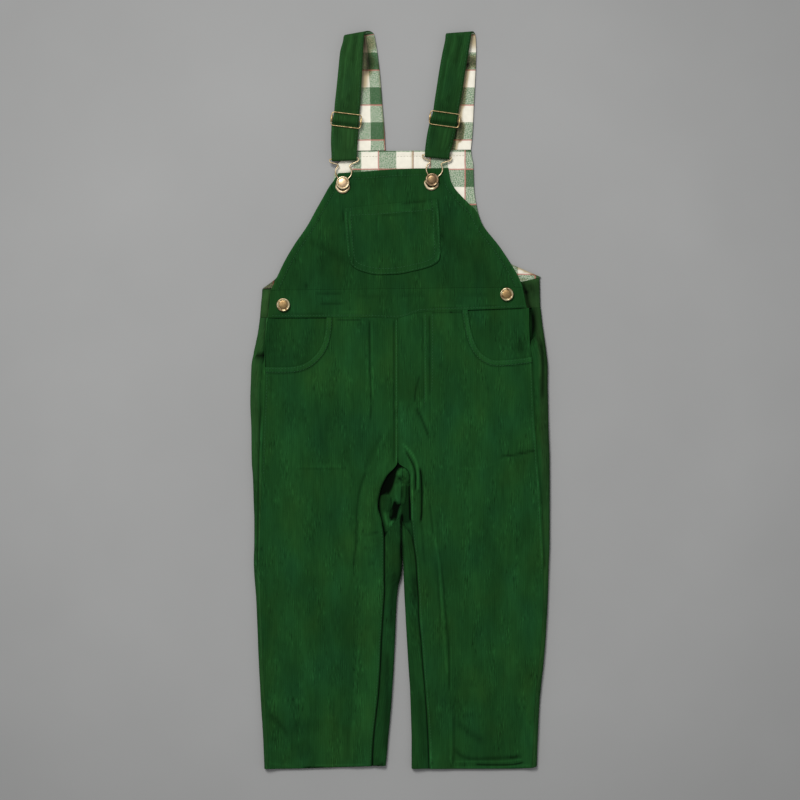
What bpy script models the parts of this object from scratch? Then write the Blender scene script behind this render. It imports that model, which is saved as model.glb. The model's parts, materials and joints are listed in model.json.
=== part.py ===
"""Bib overalls for a toddler, laid flat on their back with the straps folded over to the front.

Tables and functions are in millimetres; meshes are in metres.
X runs across the garment, Y towards the straps, Z up from the surface that it lies on.
"left" is the side at -X and "right" the side at +X. In the leg tables a place across a leg
is its distance out from the garment's middle line, so one set of functions makes both legs.
"""
import math
from collections import namedtuple

import bmesh
import bpy
from mathutils import Vector

MM = 0.001

# Cloth
CLOTH = 1.2             # corduroy
LINING = 1.0            # brushed cotton check
GAP = 0.3               # between pieces, at seams and between layers
HALF_GAP = GAP / 2
LAYER = CLOTH + GAP     # from one layer of corduroy to the next, middle to middle
LINING_LAYER = CLOTH / 2 + GAP + LINING / 2

# Heights of the middle of the cloth above the surface
FLOOR = CLOTH / 2       # the back, which lies on the surface
FRONT = 3.9             # bib, waistband and pocket zone of the front
FRONT_LEG = 2.9         # middle of the front legs
WAIST_FOLD = 3.9        # upper side of the folded edge at the waist
LEG_FOLD = 5.4          # upper side of the folded edge of a leg
EDGE_REACH = 8.0        # how far a folded edge lifts the front panel
POCKET_ZONE = (-30.0, 20.0)     # the front comes down from FRONT to FRONT_LEG over these heights
FOLD_ZONE = (20.0, 82.0)        # and its folded edge from LEG_FOLD to WAIST_FOLD over these

# The strip between a leg's long crease and its inseam stands up a little
CREASE_SHARE = 0.8      # place of the crease, as a share of the way from side seam to inseam
CREASE_WIDTH = 0.05
CREASE_LIFT = 0.9
CREASE_ZONE = (-180.0, -120.0)

# Seams across the whole garment, as the (x, y) points of a broken line
WAIST_SEAM = [(-142, 82), (-40, 82.5), (-2.5, 81.5), (15.5, 86.5), (30.5, 88.5), (142, 92.5)]
WAIST_SEAM_SLACK = 0.3  # the front panels' columns cut across that line's corners
BACK_WAIST_SEAM = [(-142, 82), (142, 92.5)]
BIB_SEAM = [(-142, 109.4), (142, 112.9)]
BACK_WAIST_TOP = [(-142, 110.8), (142, 122.4)]
BACK_SEAM_X = 13.5      # centre-back seam of the back bib
BACK_SEAM = [(-106.0, 0.5), (92.0, 13.5)]       # and of the legs, as (y, x)

# One row for each height on a leg: folded outer edge, end of the wrapped back panel, outer and
# inner edge of the front panel, inner edge of the back panel (above the crotch from its seam,
# below it the folded edge), how far the back panel has come round that fold (0 at the centre-back
# seam, 1 at the inseam), how far the front panel's inner edge turns down into the crotch, and how
# high the back panel is puckered at its seam.
LegRow = namedtuple("LegRow", "y fold wrap seam inseam inner round lip pucker")

LEFT_LEG = [
    LegRow(82.0, 140.0, 132.1, 131.8, 2.4, 0.15, 0, 0, 0),
    LegRow(70.0, 141.5, 133.1, 132.8, 2.4, 0.15, 0, 0, 0),
    LegRow(57.5, 144.0, 134.1, 133.8, 2.4, 0.15, 0, 0, 0),
    LegRow(45.5, 146.5, 134.6, 134.3, 2.4, 0.15, 0, 0, 0),
    LegRow(33.5, 148.5, 134.7, 134.4, 2.4, 0.15, 0, 0, 0),
    LegRow(19.5, 149.0, 134.9, 134.6, 2.4, 0.15, 0, 0, 0),
    LegRow(-0.5, 149.5, 135.6, 135.3, 2.4, 0.15, 0, 0, 0),
    LegRow(-30.5, 148.5, 136.9, 136.6, 2.4, 0.15, 0, 0, 0),
    LegRow(-62.5, 148.0, 138.0, 137.7, 2.7, 0.15, 0, 0, 0.6),
    LegRow(-76.0, 147.0, 138.3, 138.0, 12.5, 0.2, 0, 0.8, 1.6),
    LegRow(-91.0, 146.5, 138.6, 138.3, 20.0, 0.3, 0, 1, 2.4),
    LegRow(-106.0, 146.0, 139.2, 138.9, 22.5, 0.8, 0, 1, 1.2),
    LegRow(-121.0, 145.5, 139.6, 139.3, 19.0, -0.3, 0.4, 0.6, 0),
    LegRow(-141.0, 145.5, 140.1, 139.8, 16.2, 0.4, 1, 0, 0),
    LegRow(-161.0, 146.0, 140.6, 140.3, 15.9, 2.5, 1, 0, 0),
    LegRow(-201.0, 143.5, 139.2, 138.9, 15.9, 3.2, 1, 0, 0),
    LegRow(-251.0, 141.5, 137.2, 136.9, 18.5, 5.5, 1, 0, 0),
    LegRow(-301.0, 139.0, 134.7, 134.4, 21.7, 8.5, 1, 0, 0),
    LegRow(-341.0, 136.5, 132.2, 131.9, 25.5, 12.0, 1, 0, 0),
    LegRow(-368.5, 135.5, 131.2, 130.9, 27.5, 14.5, 1, 0, 0),
]
RIGHT_LEG = [
    LegRow(92.0, 140.5, 131.5, 128.9, -2.1, 0.15, 0, 0, 0),
    LegRow(76.0, 142.3, 135.2, 129.0, -2.1, 0.15, 0, 0, 0),
    LegRow(66.0, 143.8, 136.5, 129.3, -2.1, 0.15, 0, 0, 0),
    LegRow(57.5, 145.0, 130.5, 129.9, -2.1, 0.15, 0, 0, 0),
    LegRow(45.5, 146.5, 131.6, 131.3, -2.1, 0.15, 0, 0, 0),
    LegRow(33.5, 147.5, 132.6, 132.3, -2.1, 0.15, 0, 0, 0),
    LegRow(19.5, 147.5, 133.1, 132.8, -2.1, 0.15, 0, 0, 0),
    LegRow(-0.5, 147.8, 133.6, 133.3, -2.1, 0.15, 0, 0, 0),
    LegRow(-30.5, 148.5, 135.1, 134.8, -2.1, 0.15, 0, 0, 0),
    LegRow(-62.5, 149.5, 137.6, 137.3, -1.8, 0.15, 0, 0, 0.6),
    LegRow(-76.0, 149.5, 138.6, 138.3, 9.0, 0.2, 0, 0.8, 1.6),
    LegRow(-91.0, 149.5, 139.6, 139.3, 13.0, 0.3, 0, 1, 2.4),
    LegRow(-106.0, 149.5, 140.4, 140.1, 13.5, 0.8, 0, 1, 1.2),
    LegRow(-121.0, 149.5, 141.1, 140.8, 12.8, 0.8, 0.4, 0.6, 0),
    LegRow(-141.0, 149.5, 142.3, 142.0, 16.0, 2.6, 1, 0, 0),
    LegRow(-161.0, 148.8, 143.6, 143.3, 18.5, 3.8, 1, 0, 0),
    LegRow(-201.0, 147.5, 143.2, 142.9, 21.0, 4.7, 1, 0, 0),
    LegRow(-251.0, 144.5, 140.2, 139.9, 23.2, 7.5, 1, 0, 0),
    LegRow(-301.0, 139.5, 135.2, 134.9, 25.8, 10.5, 1, 0, 0),
    LegRow(-341.0, 137.5, 133.2, 132.9, 28.0, 11.5, 1, 0, 0),
    LegRow(-368.5, 136.5, 132.2, 131.9, 29.5, 11.5, 1, 0, 0),
]

# The scoop of a front pocket, from the side seam round to the waistband, as (out, y). It is the
# first part of the front panel's top edge, and the waist seam is the rest.
LEFT_SCOOP = [(134.3, 33.0), (121.0, 32.7), (108.5, 33.0), (96.0, 36.0), (85.5, 43.5),
              (77.5, 55.5), (74.0, 71.5), (73.5, 82.0)]
RIGHT_SCOOP = [(131.4, 43.0), (120.0, 41.3), (108.0, 40.0), (95.5, 39.5), (83.0, 45.0),
               (75.5, 55.5), (70.5, 71.5), (67.5, 90.0)]
WAIST_COLUMNS = (50.0, 27.0)    # out of the panel's columns between the scoop and its inner edge
TOP_ROWS = (0.0, 0.2, 0.45, 0.7)        # rows between that edge and the first row of even height
FIRST_EVEN_ROW = 15.0
FRONT_LEG_SHARES = (0, 0.03, 0.07, 0.14, 0.30, 0.48, 0.64, 0.77, 0.83, 0.92, 1.0)
LIP_FLAT = ((1.6, 0.0), (0.8, 0.0), (0.0, 0.0))         # last columns, from the panel's inner edge:
LIP_DOWN = ((1.4, -0.3), (0.6, -1.2), (0.7, -2.8))      # (out, up) lying flat and turned down
LIP_WIDTH = 3.0

# A pocket facing, ruled from the side seam to its edge behind the front panel: (out, y) of each
FacingRow = namedtuple("FacingRow", "outer inner")
LEFT_FACING = [
    FacingRow((131.8, 82.0), (64.5, 82.0)),
    FacingRow((132.7, 69.0), (65.5, 68.0)),
    FacingRow((133.7, 57.0), (70.0, 51.0)),
    FacingRow((134.2, 46.0), (79.0, 37.5)),
    FacingRow((134.1, 36.5), (91.0, 28.5)),
    FacingRow((124.0, 27.0), (108.0, 24.5)),
]
RIGHT_FACING = [
    FacingRow((128.9, 92.0), (58.5, 90.0)),
    FacingRow((129.1, 76.0), (60.5, 71.0)),
    FacingRow((129.4, 64.0), (66.5, 50.5)),
    FacingRow((130.4, 52.0), (76.0, 38.5)),
    FacingRow((131.0, 44.5), (92.0, 31.0)),
    FacingRow((121.0, 33.0), (106.0, 30.5)),
]
FACING_SHARES = (0, 0.08, 0.2, 0.5, 1.0)
FACING_DROP = LAYER + 0.2       # how far a facing lies below the front panel
FACING_REACH = 10.0             # it comes up to the side seam over this width
FACING_ZONE = (40.0, 55.0)      # and over these heights

# Two edges of a panel that is ruled between them: the (x, y) of both ends of each row
EdgeRow = namedtuple("EdgeRow", "left right")
FRONT_BIB = [
    EdgeRow((-61.5, 226.5), (48.5, 229.5)),
    EdgeRow((-65.5, 220.0), (50.5, 219.5)),
    EdgeRow((-71.0, 212.5), (54.5, 211.5)),
    EdgeRow((-75.5, 204.5), (60.5, 204.5)),
    EdgeRow((-80.0, 196.5), (68.5, 196.5)),
    EdgeRow((-84.0, 189.5), (75.5, 189.5)),
    EdgeRow((-92.5, 174.0), (83.5, 173.5)),
    EdgeRow((-105.5, 155.0), (98.0, 155.0)),
    EdgeRow((-115.5, 138.0), (109.5, 138.0)),
    EdgeRow((-122.0, 124.5), (117.5, 124.5)),
    EdgeRow((-129.0, 109.85), (122.5, 113.0)),
]
BACK_BIB = [
    EdgeRow((-47.0, 248.5), (71.0, 249.5)),
    EdgeRow((-54.0, 243.0), (71.5, 244.0)),
    EdgeRow((-62.0, 236.0), (73.2, 236.0)),
    EdgeRow((-65.0, 228.0), (73.5, 228.0)),
    EdgeRow((-68.0, 213.5), (74.0, 211.0)),
    EdgeRow((-76.0, 197.5), (76.5, 194.5)),
    EdgeRow((-84.5, 181.5), (80.0, 181.5)),
    EdgeRow((-94.0, 165.5), (86.5, 166.0)),
    EdgeRow((-105.0, 149.5), (96.5, 150.0)),
    EdgeRow((-114.0, 135.0), (108.0, 137.5)),
    EdgeRow((-124.0, 121.5), (122.0, 131.0)),
    EdgeRow((-137.3, 111.3), (141.0, 122.7)),
]
BIB_POCKET = [
    EdgeRow((-55.5, 191.5), (37.5, 200.5)),
    EdgeRow((-54.8, 180.0), (39.0, 188.0)),
    EdgeRow((-53.8, 163.0), (40.0, 168.0)),
    EdgeRow((-52.5, 148.0), (40.8, 150.0)),
    EdgeRow((-50.5, 138.0), (39.6, 141.0)),
    EdgeRow((-46.0, 132.0), (35.5, 136.0)),
    EdgeRow((-37.0, 128.0), (28.0, 132.5)),
    EdgeRow((-22.0, 125.0), (15.0, 129.0)),
]
BIB_SHARES = (0, 0.08, 0.2, 0.35, 0.5, 0.65, 0.8, 0.92, 1.0)
HALF_BIB_SHARES = (0, 0.25, 0.5, 0.75, 1.0)
POCKET_SHARES = (0, 0.2, 0.4, 0.6, 0.8, 1.0)

# Waistbands: x of the front band's ends and of the back band's folds, at the top and bottom edges.
# The back band's ends are tabs, which fold over and reach in under the front band.
FRONT_BAND_LEFT = (-129.2, -131.8)
FRONT_BAND_RIGHT = (122.7, 128.9)
FRONT_BAND_SHARES = (0, 0.04, 0.09, 0.2, 0.35, 0.505, 0.58, 0.64, 0.8, 0.91, 0.96, 1.0)
BAND_ROWS = (0.0, 0.5, 1.0)     # from a band's top edge to its bottom edge
BAND_TOP = 111.0                # rough middle of the bands' top edge
BAND_WIDTH = 30.0
BACK_FOLD_LEFT = (-137.5, -140.0)
BACK_FOLD_RIGHT = (139.7, 140.5)
TAB_TOP_LEFT = [(-142, 110.3), (-100, 110.3)]
TAB_TOP_RIGHT = [(100, 113.9), (139.5, 121.6), (142, 122.0)]
TAB_LENGTH = 24.0
TAB_SHARES = (1.0, 0.5, 0.25)   # from a tab's end towards its fold
TAB_HEIGHT = FLOOR + LAYER      # middle of a tab where the front band covers it
TAB_SLOPE = 12.0                # a tab comes down from its fold over this length
BAND_LIFT = LAYER + 0.3         # front band above a tab, middle to middle
BIB_LIFT_ZONE = (110.0, 126.0)  # the bib's corners follow the band's rise up to here

# Straps. Each starts at the back bib with its corduroy down, turns over at the top, comes down
# with its corduroy up, dips and rises through the slider, turns round the clip and ends below the
# slider's middle bar. Stations are the left and right edges (x, y) and the height of the middle.
Station = namedtuple("Station", "left right z")
Strap = namedtuple("Strap", "lower turn_in turn_out upper bar_top bar_low below end")
STRAP_TOP = 8.3
STRAP_DIP = 6.3                 # under the slider's outer bars
STRAP_RISE = 11.1               # over its middle bar
STRAP_BELOW = 7.4
STRAP_END = 7.65
TAIL_START = 3.95
TAIL = 3.45
TAIL_INSET = 0.8
SLIDER_WAVE = ((1.0, STRAP_DIP), (0.75, 6.9), (0.24, 10.8), (0.0, STRAP_RISE),
               (-0.24, 10.8), (-0.75, 6.9), (-1.0, STRAP_DIP))  # (share of half the slider, height)
TAIL_WAVE = ((-1.0, TAIL), (-0.75, TAIL + 0.05), (-0.07, 5.95))
TURN_STEPS = 6
BEND_STEPS = 4

STRAP_LEFT = Strap(
    lower=[
        Station((-44.0, 248.9), (-14.5, 249.2), FLOOR),
        Station((-44.5, 269.5), (-15.5, 269.5), FLOOR),
        Station((-45.5, 289.5), (-17.2, 289.5), FLOOR),
        Station((-46.7, 309.5), (-18.7, 309.5), FLOOR),
        Station((-48.5, 329.5), (-20.5, 329.5), FLOOR),
        Station((-51.0, 349.5), (-23.0, 349.5), FLOOR),
    ],
    turn_in=Station((-52.8, 360.0), (-25.5, 364.2), FLOOR),
    turn_out=Station((-56.5, 360.0), (-35.7, 364.2), STRAP_TOP),
    upper=[
        Station((-59.7, 347.0), (-36.6, 349.5), STRAP_TOP),
        Station((-61.5, 329.5), (-37.5, 329.5), STRAP_TOP),
        Station((-63.5, 309.5), (-38.6, 309.5), STRAP_TOP),
        Station((-65.2, 293.8), (-39.9, 291.0), STRAP_TOP - 0.4),
    ],
    bar_top=((-65.7, 287.1), (-40.5, 284.0)),
    bar_low=((-68.3, 274.0), (-41.3, 270.6)),
    below=Station((-68.9, 257.5), (-42.4, 255.5), STRAP_BELOW),
    end=Station((-68.3, 240.4), (-43.1, 241.5), STRAP_END),
)
STRAP_RIGHT = Strap(
    lower=[
        Station((43.2, 249.65), (70.8, 249.9), FLOOR),
        Station((44.7, 269.5), (72.7, 269.5), FLOOR),
        Station((45.8, 294.5), (73.8, 294.5), FLOOR),
        Station((47.0, 317.0), (75.0, 317.0), FLOOR),
        Station((47.7, 333.0), (75.7, 333.0), FLOOR),
        Station((48.0, 349.5), (76.1, 349.5), FLOOR),
    ],
    turn_in=Station((47.3, 361.6), (75.5, 363.6), FLOOR),
    turn_out=Station((45.2, 361.6), (71.0, 363.6), STRAP_TOP),
    upper=[
        Station((42.3, 346.5), (68.6, 347.5), STRAP_TOP),
        Station((39.4, 330.5), (65.4, 329.5), STRAP_TOP),
        Station((36.4, 311.0), (62.6, 310.0), STRAP_TOP),
        Station((34.0, 295.5), (59.3, 292.0), STRAP_TOP - 0.4),
    ],
    bar_top=((33.0, 288.2), (58.1, 284.7)),
    bar_low=((29.2, 275.2), (56.2, 271.4)),
    below=Station((26.2, 260.0), (53.0, 257.0), STRAP_BELOW),
    end=Station((24.7, 244.8), (49.3, 242.3), STRAP_END),
)

# Sliders: a wire frame with a middle bar, in the plane of the strap
SLIDER_WIRE = 1.6
SLIDER_BAR = 1.44               # its middle bar is thinner
SLIDER_Z = 8.05
SLIDER_HALF = (15.2, 6.7)       # half width and half height at the middle of the wire
SLIDER_CORNER = 3.0
SLIDER_PLACES = {"left": ((-54.0, 278.9), -7.0), "right": ((44.1, 279.9), -8.0)}

# Clips: bent wire, one closed ring. Right half of the outline from the strap's bar down to below
# the button, with the button at (0, 0).
CLIP_WIRE = 1.8
CLIP_Z = 5.8
CLIP_HALF = [
    (0.0, 24.5), (12.6, 24.5), (14.3, 23.4), (13.5, 21.2), (7.6, 19.0), (5.7, 17.0), (7.4, 14.2),
    (8.1, 11.0), (7.2, 7.5), (5.0, 4.2), (5.6, 1.0), (7.6, -2.5), (7.2, -5.5), (4.2, -8.0),
]
CLIP_BOTTOM = (0.0, -8.9)
CLIP_SKEW = math.radians(6.0)   # the strap's bar leans, below SKEW_ZONE it doesn't
SKEW_ZONE = (17.0, 21.0)
CLIP_PLACES = {"left": ((-57.0, 216.5), -3.5), "right": ((32.0, 219.5), -12.0)}

# Buttons: a domed head with a raised rim on a shank, as (radius, height) above the head's underside
BUTTON_HEAD = [
    (0.0, 2.5), (4.6, 2.2), (5.2, 1.9), (5.9, 2.3), (6.7, 2.2), (7.25, 1.5), (7.1, 0.6),
    (5.5, 0.0), (2.4, 0.0),
]
SHANK = 2.4
BIB_SHANK = 2.2
SIDE_SHANK = 0.8
BUTTON_STEPS = 14
BUTTON_BASE = FRONT + CLOTH / 2 + GAP
BUTTON_PLACES = {
    "bib_button_left": ((-57.0, 216.5), BIB_SHANK),
    "bib_button_right": ((32.0, 219.5), BIB_SHANK),
    "side_button_left": ((-116.5, 95.5), SIDE_SHANK),
    "side_button_right": ((106.5, 105.5), SIDE_SHANK),
}

FOLD_STEPS = 4          # flat faces round a folded edge
FLOOR_SHARES = (0.3, 0.6, 1.0)
SEAM_STRIP = 10.0       # width of the back panel's last columns before its centre-back seam
SEAM_COLUMNS = 6


# ---------------------------------------------------------------- small helpers

def lerp(a, b, share):
    """A number or a point between two others."""
    if isinstance(a, (tuple, list)):
        return tuple(lerp(p, q, share) for p, q in zip(a, b))
    return a + (b - a) * share


def smoothstep(low, high, value):
    share = min(max((value - low) / (high - low), 0.0), 1.0)
    return share * share * (3 - 2 * share)


def line_at(line, place):
    """Second coordinate of a broken line where its first one is `place`."""
    for (start, value), (end, next_value) in zip(line, line[1:]):
        if place <= end:
            return lerp(value, next_value, (place - start) / (end - start))
    return line[-1][1]


def leg_row_at(rows, y):
    """The row of a leg table at any height, read between its rows."""
    if y >= rows[0].y:
        return rows[0]._replace(y=y)
    for upper, lower in zip(rows, rows[1:]):
        if y >= lower.y:
            return LegRow(*lerp(tuple(upper), tuple(lower), (upper.y - y) / (upper.y - lower.y)))
    return rows[-1]._replace(y=y)


# ---------------------------------------------------------------- heights of the cloth

def fold_top(y):
    """Middle of the cloth on top of a folded leg edge."""
    return lerp(LEG_FOLD, WAIST_FOLD, smoothstep(*FOLD_ZONE, y))


def fold_radius(y):
    return (fold_top(y) - FLOOR) / 2


def edge_rise(distance):
    """1 on top of a folded edge, falling off with the distance from it."""
    return math.exp(-(max(distance, 0.0) / EDGE_REACH) ** 2)


def front_leg_height(row, out):
    """Middle of the front layer of a leg, where this row of the table crosses `out`."""
    middle = lerp(FRONT_LEG, FRONT, smoothstep(*POCKET_ZONE, row.y))
    share = (row.seam - out) / (row.seam - row.inseam)
    crease = smoothstep(CREASE_SHARE - CREASE_WIDTH, CREASE_SHARE + CREASE_WIDTH, share)
    middle += CREASE_LIFT * crease * (1 - smoothstep(*CREASE_ZONE, row.y))
    top = fold_top(row.y)
    outer_fold = row.fold - CLOTH / 2 - fold_radius(row.y)
    inner_fold = lerp(row.inseam, row.inner + CLOTH / 2 + fold_radius(row.y), row.round)
    inner = edge_rise(out - inner_fold) * max(row.lip, row.round)
    rise = max(edge_rise(outer_fold - out), inner)
    return lerp(middle, top, rise)


def fold_distance(x, y):
    """How far in from the top of the nearer fold of the waist a point lies."""
    share = (BAND_TOP - y) / BAND_WIDTH
    inset = CLOTH / 2 + (WAIST_FOLD - FLOOR) / 2
    left = x - (lerp(*BACK_FOLD_LEFT, share) + inset)
    right = (lerp(*BACK_FOLD_RIGHT, share) - inset) - x
    return min(left, right)


def tab_height(x, y):
    """Middle of a tab of the back waistband."""
    return lerp(WAIST_FOLD, TAB_HEIGHT, smoothstep(0.0, TAB_SLOPE, fold_distance(x, y)))


def waist_height(x, y):
    """Middle of the front waistband, which lies over the tabs."""
    return max(FRONT, tab_height(x, y) + BAND_LIFT)


def bib_height(x, y):
    """Middle of the front bib, whose lower corners follow the waistband."""
    return lerp(waist_height(x, y), FRONT, smoothstep(*BIB_LIFT_ZONE, y))


# ---------------------------------------------------------------- making objects

def make_material(name, colour, roughness, metallic=0.0):
    material = bpy.data.materials.new(name)
    material.use_nodes = True
    shader = material.node_tree.nodes["Principled BSDF"]
    shader.inputs["Base Color"].default_value = (*colour, 1.0)
    shader.inputs["Roughness"].default_value = roughness
    shader.inputs["Metallic"].default_value = metallic
    material.diffuse_color = (*colour, 1.0)
    return material


def add_object(name, data, material, parent):
    thing = bpy.data.objects.new(name, data)
    data.materials.append(material)
    thing.parent = parent
    bpy.data.collections["bib_overalls"].objects.link(thing)
    return thing


def loft(name, rows, thickness, material, parent):
    """A sheet of cloth through rows of points, thickened to both sides of them."""
    mesh = bmesh.new()
    grid = [[mesh.verts.new(Vector(point) * MM) for point in row] for row in rows]
    for upper, lower in zip(grid, grid[1:]):
        for column in range(len(upper) - 1):
            corners = (upper[column], lower[column], lower[column + 1], upper[column + 1])
            mesh.faces.new(corners)
    data = bpy.data.meshes.new(name)
    mesh.to_mesh(data)
    mesh.free()
    data.shade_smooth()
    thing = add_object(name, data, material, parent)
    wall = thing.modifiers.new("Wall", "SOLIDIFY")
    wall.thickness = thickness * MM
    wall.offset = 0.0
    return thing


def moved_out(rows, distance):
    """A copy of a grid, each point moved along the grid's normal there."""
    points = [[Vector(point) for point in row] for row in rows]
    last_row = len(points) - 1
    last_column = len(points[0]) - 1
    moved = []
    for i, row in enumerate(points):
        new_row = []
        for j, point in enumerate(row):
            along = points[min(i + 1, last_row)][j] - points[max(i - 1, 0)][j]
            across = row[min(j + 1, last_column)] - row[max(j - 1, 0)]
            normal = along.cross(across).normalized()
            new_row.append(tuple(point + normal * distance))
        moved.append(new_row)
    return moved


def ruled(rows, shares, height):
    """Rows of points between the two edges of a panel, at height(x, y)."""
    grid = []
    for row in rows:
        flat = [lerp(row.left, row.right, share) for share in shares]
        grid.append([(x, y, height(x, y)) for x, y in flat])
    return grid


# ---------------------------------------------------------------- legs

def below_waist_seam(side, out):
    """y of a front panel's top edge."""
    return line_at(WAIST_SEAM, side * out) - HALF_GAP - WAIST_SEAM_SLACK


def outer_fold(centre, radius):
    """Points (out, z) round the folded outer edge, from its top down to the floor."""
    points = []
    for step in range(FOLD_STEPS + 1):
        angle = math.pi * (0.5 - step / FOLD_STEPS)
        out = centre + radius * math.cos(angle)
        points.append((out, FLOOR + radius * (1 + math.sin(angle))))
    return points


def inner_fold_start(side, row):
    """Where the back panel leaves the floor, or its centre-back seam where it stays flat."""
    if row.round == 0:
        return side * line_at(BACK_SEAM, row.y) + row.inner
    return row.inner + CLOTH / 2 + fold_radius(row.y)


def inner_fold_point(side, row, distance):
    """(out, z) on the way along the floor, round the inner fold and on to the inseam."""
    radius = fold_radius(row.y)
    start = inner_fold_start(side, row)
    if distance <= 0:
        pucker = row.pucker * (1 + distance / SEAM_STRIP) ** 2
        return (start - distance, FLOOR + pucker)
    if distance <= math.pi * radius:
        angle = distance / radius
        return (start - radius * math.sin(angle), FLOOR + radius * (1 - math.cos(angle)))
    out = start + distance - math.pi * radius
    return (out, front_leg_height(row, out))


def back_leg_row(side, row):
    """(out, z) of the back panel at one height: wrapped strip, outer fold, floor, inner fold."""
    radius = fold_radius(row.y)
    centre = row.fold - CLOTH / 2 - radius
    points = []
    for share in (0.0, 0.5):
        out = lerp(row.wrap, centre, share)
        points.append((out, front_leg_height(row, out)))
    points += outer_fold(centre, radius)

    fold_length = math.pi * radius
    strip = row.inseam - GAP - inner_fold_start(side, row)
    flat_stops = [SEAM_STRIP * (share / SEAM_COLUMNS - 1) for share in range(SEAM_COLUMNS + 1)]
    wrapped_stops = [0.0, fold_length * 0.25, fold_length * 0.5, fold_length * 0.75, fold_length,
                     fold_length + strip / 2, fold_length + strip]
    stops = [lerp(a, b, row.round) for a, b in zip(flat_stops, wrapped_stops)]
    floor_end = inner_fold_point(side, row, stops[0])[0]
    points += [(lerp(centre, floor_end, share), FLOOR) for share in FLOOR_SHARES[:-1]]
    points += [inner_fold_point(side, row, stop) for stop in stops]
    return points


def back_leg(side, table):
    grid = []
    for row in table:
        grid.append([(side * out, row.y, z) for out, z in back_leg_row(side, row)])
    grid[0] = [(x, line_at(BACK_WAIST_SEAM, x) - HALF_GAP, z) for x, y, z in grid[0]]
    return grid


def front_leg_lip(table, inner_out, y):
    """The last columns of a row of the front panel, which turn down at the crotch."""
    row = leg_row_at(table, y)
    points = []
    for flat, down in zip(LIP_FLAT, LIP_DOWN):
        shift, drop = lerp(flat, down, row.lip)
        out = inner_out + shift
        points.append((out, y, front_leg_height(row, out) + drop))
    return points


def front_leg(side, table, scoop):
    """The front panel: rows that follow its top edge, then even rows down to the hem."""
    first = leg_row_at(table, FIRST_EVEN_ROW)
    even = [first] + [row for row in table if row.y < FIRST_EVEN_ROW]
    columns = []
    for row in even:
        body_end = row.inseam + LIP_WIDTH
        columns.append([(lerp(row.seam, body_end, share), row.y) for share in FRONT_LEG_SHARES])
    inner_out = table[0].inseam
    waist = [(out, below_waist_seam(side, out)) for out in (*WAIST_COLUMNS, inner_out + LIP_WIDTH)]
    corner = (scoop[-1][0], below_waist_seam(side, scoop[-1][0]))
    top = scoop[:-1] + [corner] + waist
    rows = [[lerp(a, b, share) for a, b in zip(top, columns[0])] for share in TOP_ROWS]
    grid = []
    for row in rows + columns:
        points = [(out, y, front_leg_height(leg_row_at(table, y), out)) for out, y in row]
        y = row[-1][1]
        points += front_leg_lip(table, leg_row_at(table, y).inseam, y)
        grid.append([(side * out, y, z) for out, y, z in points])
    return grid


def pocket_facing(side, table, rows):
    grid = []
    for row in rows:
        points = []
        for share in FACING_SHARES:
            out, y = lerp(row.outer, row.inner, share)
            leg_row = leg_row_at(table, y)
            near_seam = 1 - smoothstep(0.0, FACING_REACH, leg_row.seam - out)
            lifted = near_seam * smoothstep(*FACING_ZONE, y)
            z = front_leg_height(leg_row, out) - FACING_DROP * (1 - lifted)
            points.append((side * out, y, z))
        grid.append(points)
    grid[0] = [(x, below_waist_seam(side, side * x), z) for x, y, z in grid[0]]
    return grid


# ---------------------------------------------------------------- waistbands and bibs

def front_waistband():
    grid = []
    for share in BAND_ROWS:
        left = lerp(*FRONT_BAND_LEFT, share)
        right = lerp(*FRONT_BAND_RIGHT, share)
        row = []
        for step in FRONT_BAND_SHARES:
            x = lerp(left, right, step)
            top = line_at(BIB_SEAM, x) - HALF_GAP
            low = line_at(WAIST_SEAM, x) + HALF_GAP
            y = lerp(top, low, share)
            row.append((x, y, waist_height(x, y)))
        grid.append(row)
    return grid


def tab_points(fold, inward, y, tab_top, share):
    """One tab of the back band at one height: from its end to the top of its fold, then round it."""
    radius = (WAIST_FOLD - FLOOR) / 2
    centre = fold + inward * (CLOTH / 2 + radius)
    points = []
    for part in TAB_SHARES:
        x = centre + inward * TAB_LENGTH * part
        top = line_at(tab_top, x)
        low = line_at(BACK_WAIST_SEAM, x) + HALF_GAP
        tab_y = lerp(top, low, share)
        points.append((x, tab_y, tab_height(x, tab_y)))
    for step in range(FOLD_STEPS + 1):
        angle = math.pi * (0.5 - step / FOLD_STEPS)
        x = centre - inward * radius * math.cos(angle)
        points.append((x, y, FLOOR + radius + radius * math.sin(angle)))
    return points


def back_waistband():
    grid = []
    for share in BAND_ROWS:
        fold_left = lerp(*BACK_FOLD_LEFT, share)
        fold_right = lerp(*BACK_FOLD_RIGHT, share)
        ends = []
        for fold, inward, tab_top in ((fold_left, 1, TAB_TOP_LEFT), (fold_right, -1, TAB_TOP_RIGHT)):
            top = line_at(tab_top, fold)
            low = line_at(BACK_WAIST_SEAM, fold) + HALF_GAP
            ends.append(tab_points(fold, inward, lerp(top, low, share), tab_top, share))
        left, right = ends
        floor_left = left[-1][0]
        floor_right = right[-1][0]
        row = list(left)
        for step in (0.25, 0.5, 0.75):
            x = lerp(floor_left, floor_right, step)
            top = line_at(BACK_WAIST_TOP, x) - HALF_GAP
            low = line_at(BACK_WAIST_SEAM, x) + HALF_GAP
            row.append((x, lerp(top, low, share), FLOOR))
        row += reversed(right)
        grid.append(row)
    return grid


def half_of(rows, side):
    """One half of the back bib, up to the centre-back seam."""
    halves = []
    for row in rows:
        span = row.right[0] - row.left[0]
        share = (BACK_SEAM_X + side * HALF_GAP - row.left[0]) / span
        seam = lerp(row.left, row.right, share)
        halves.append(EdgeRow(row.left, seam) if side < 0 else EdgeRow(seam, row.right))
    return halves


# ---------------------------------------------------------------- straps

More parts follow.
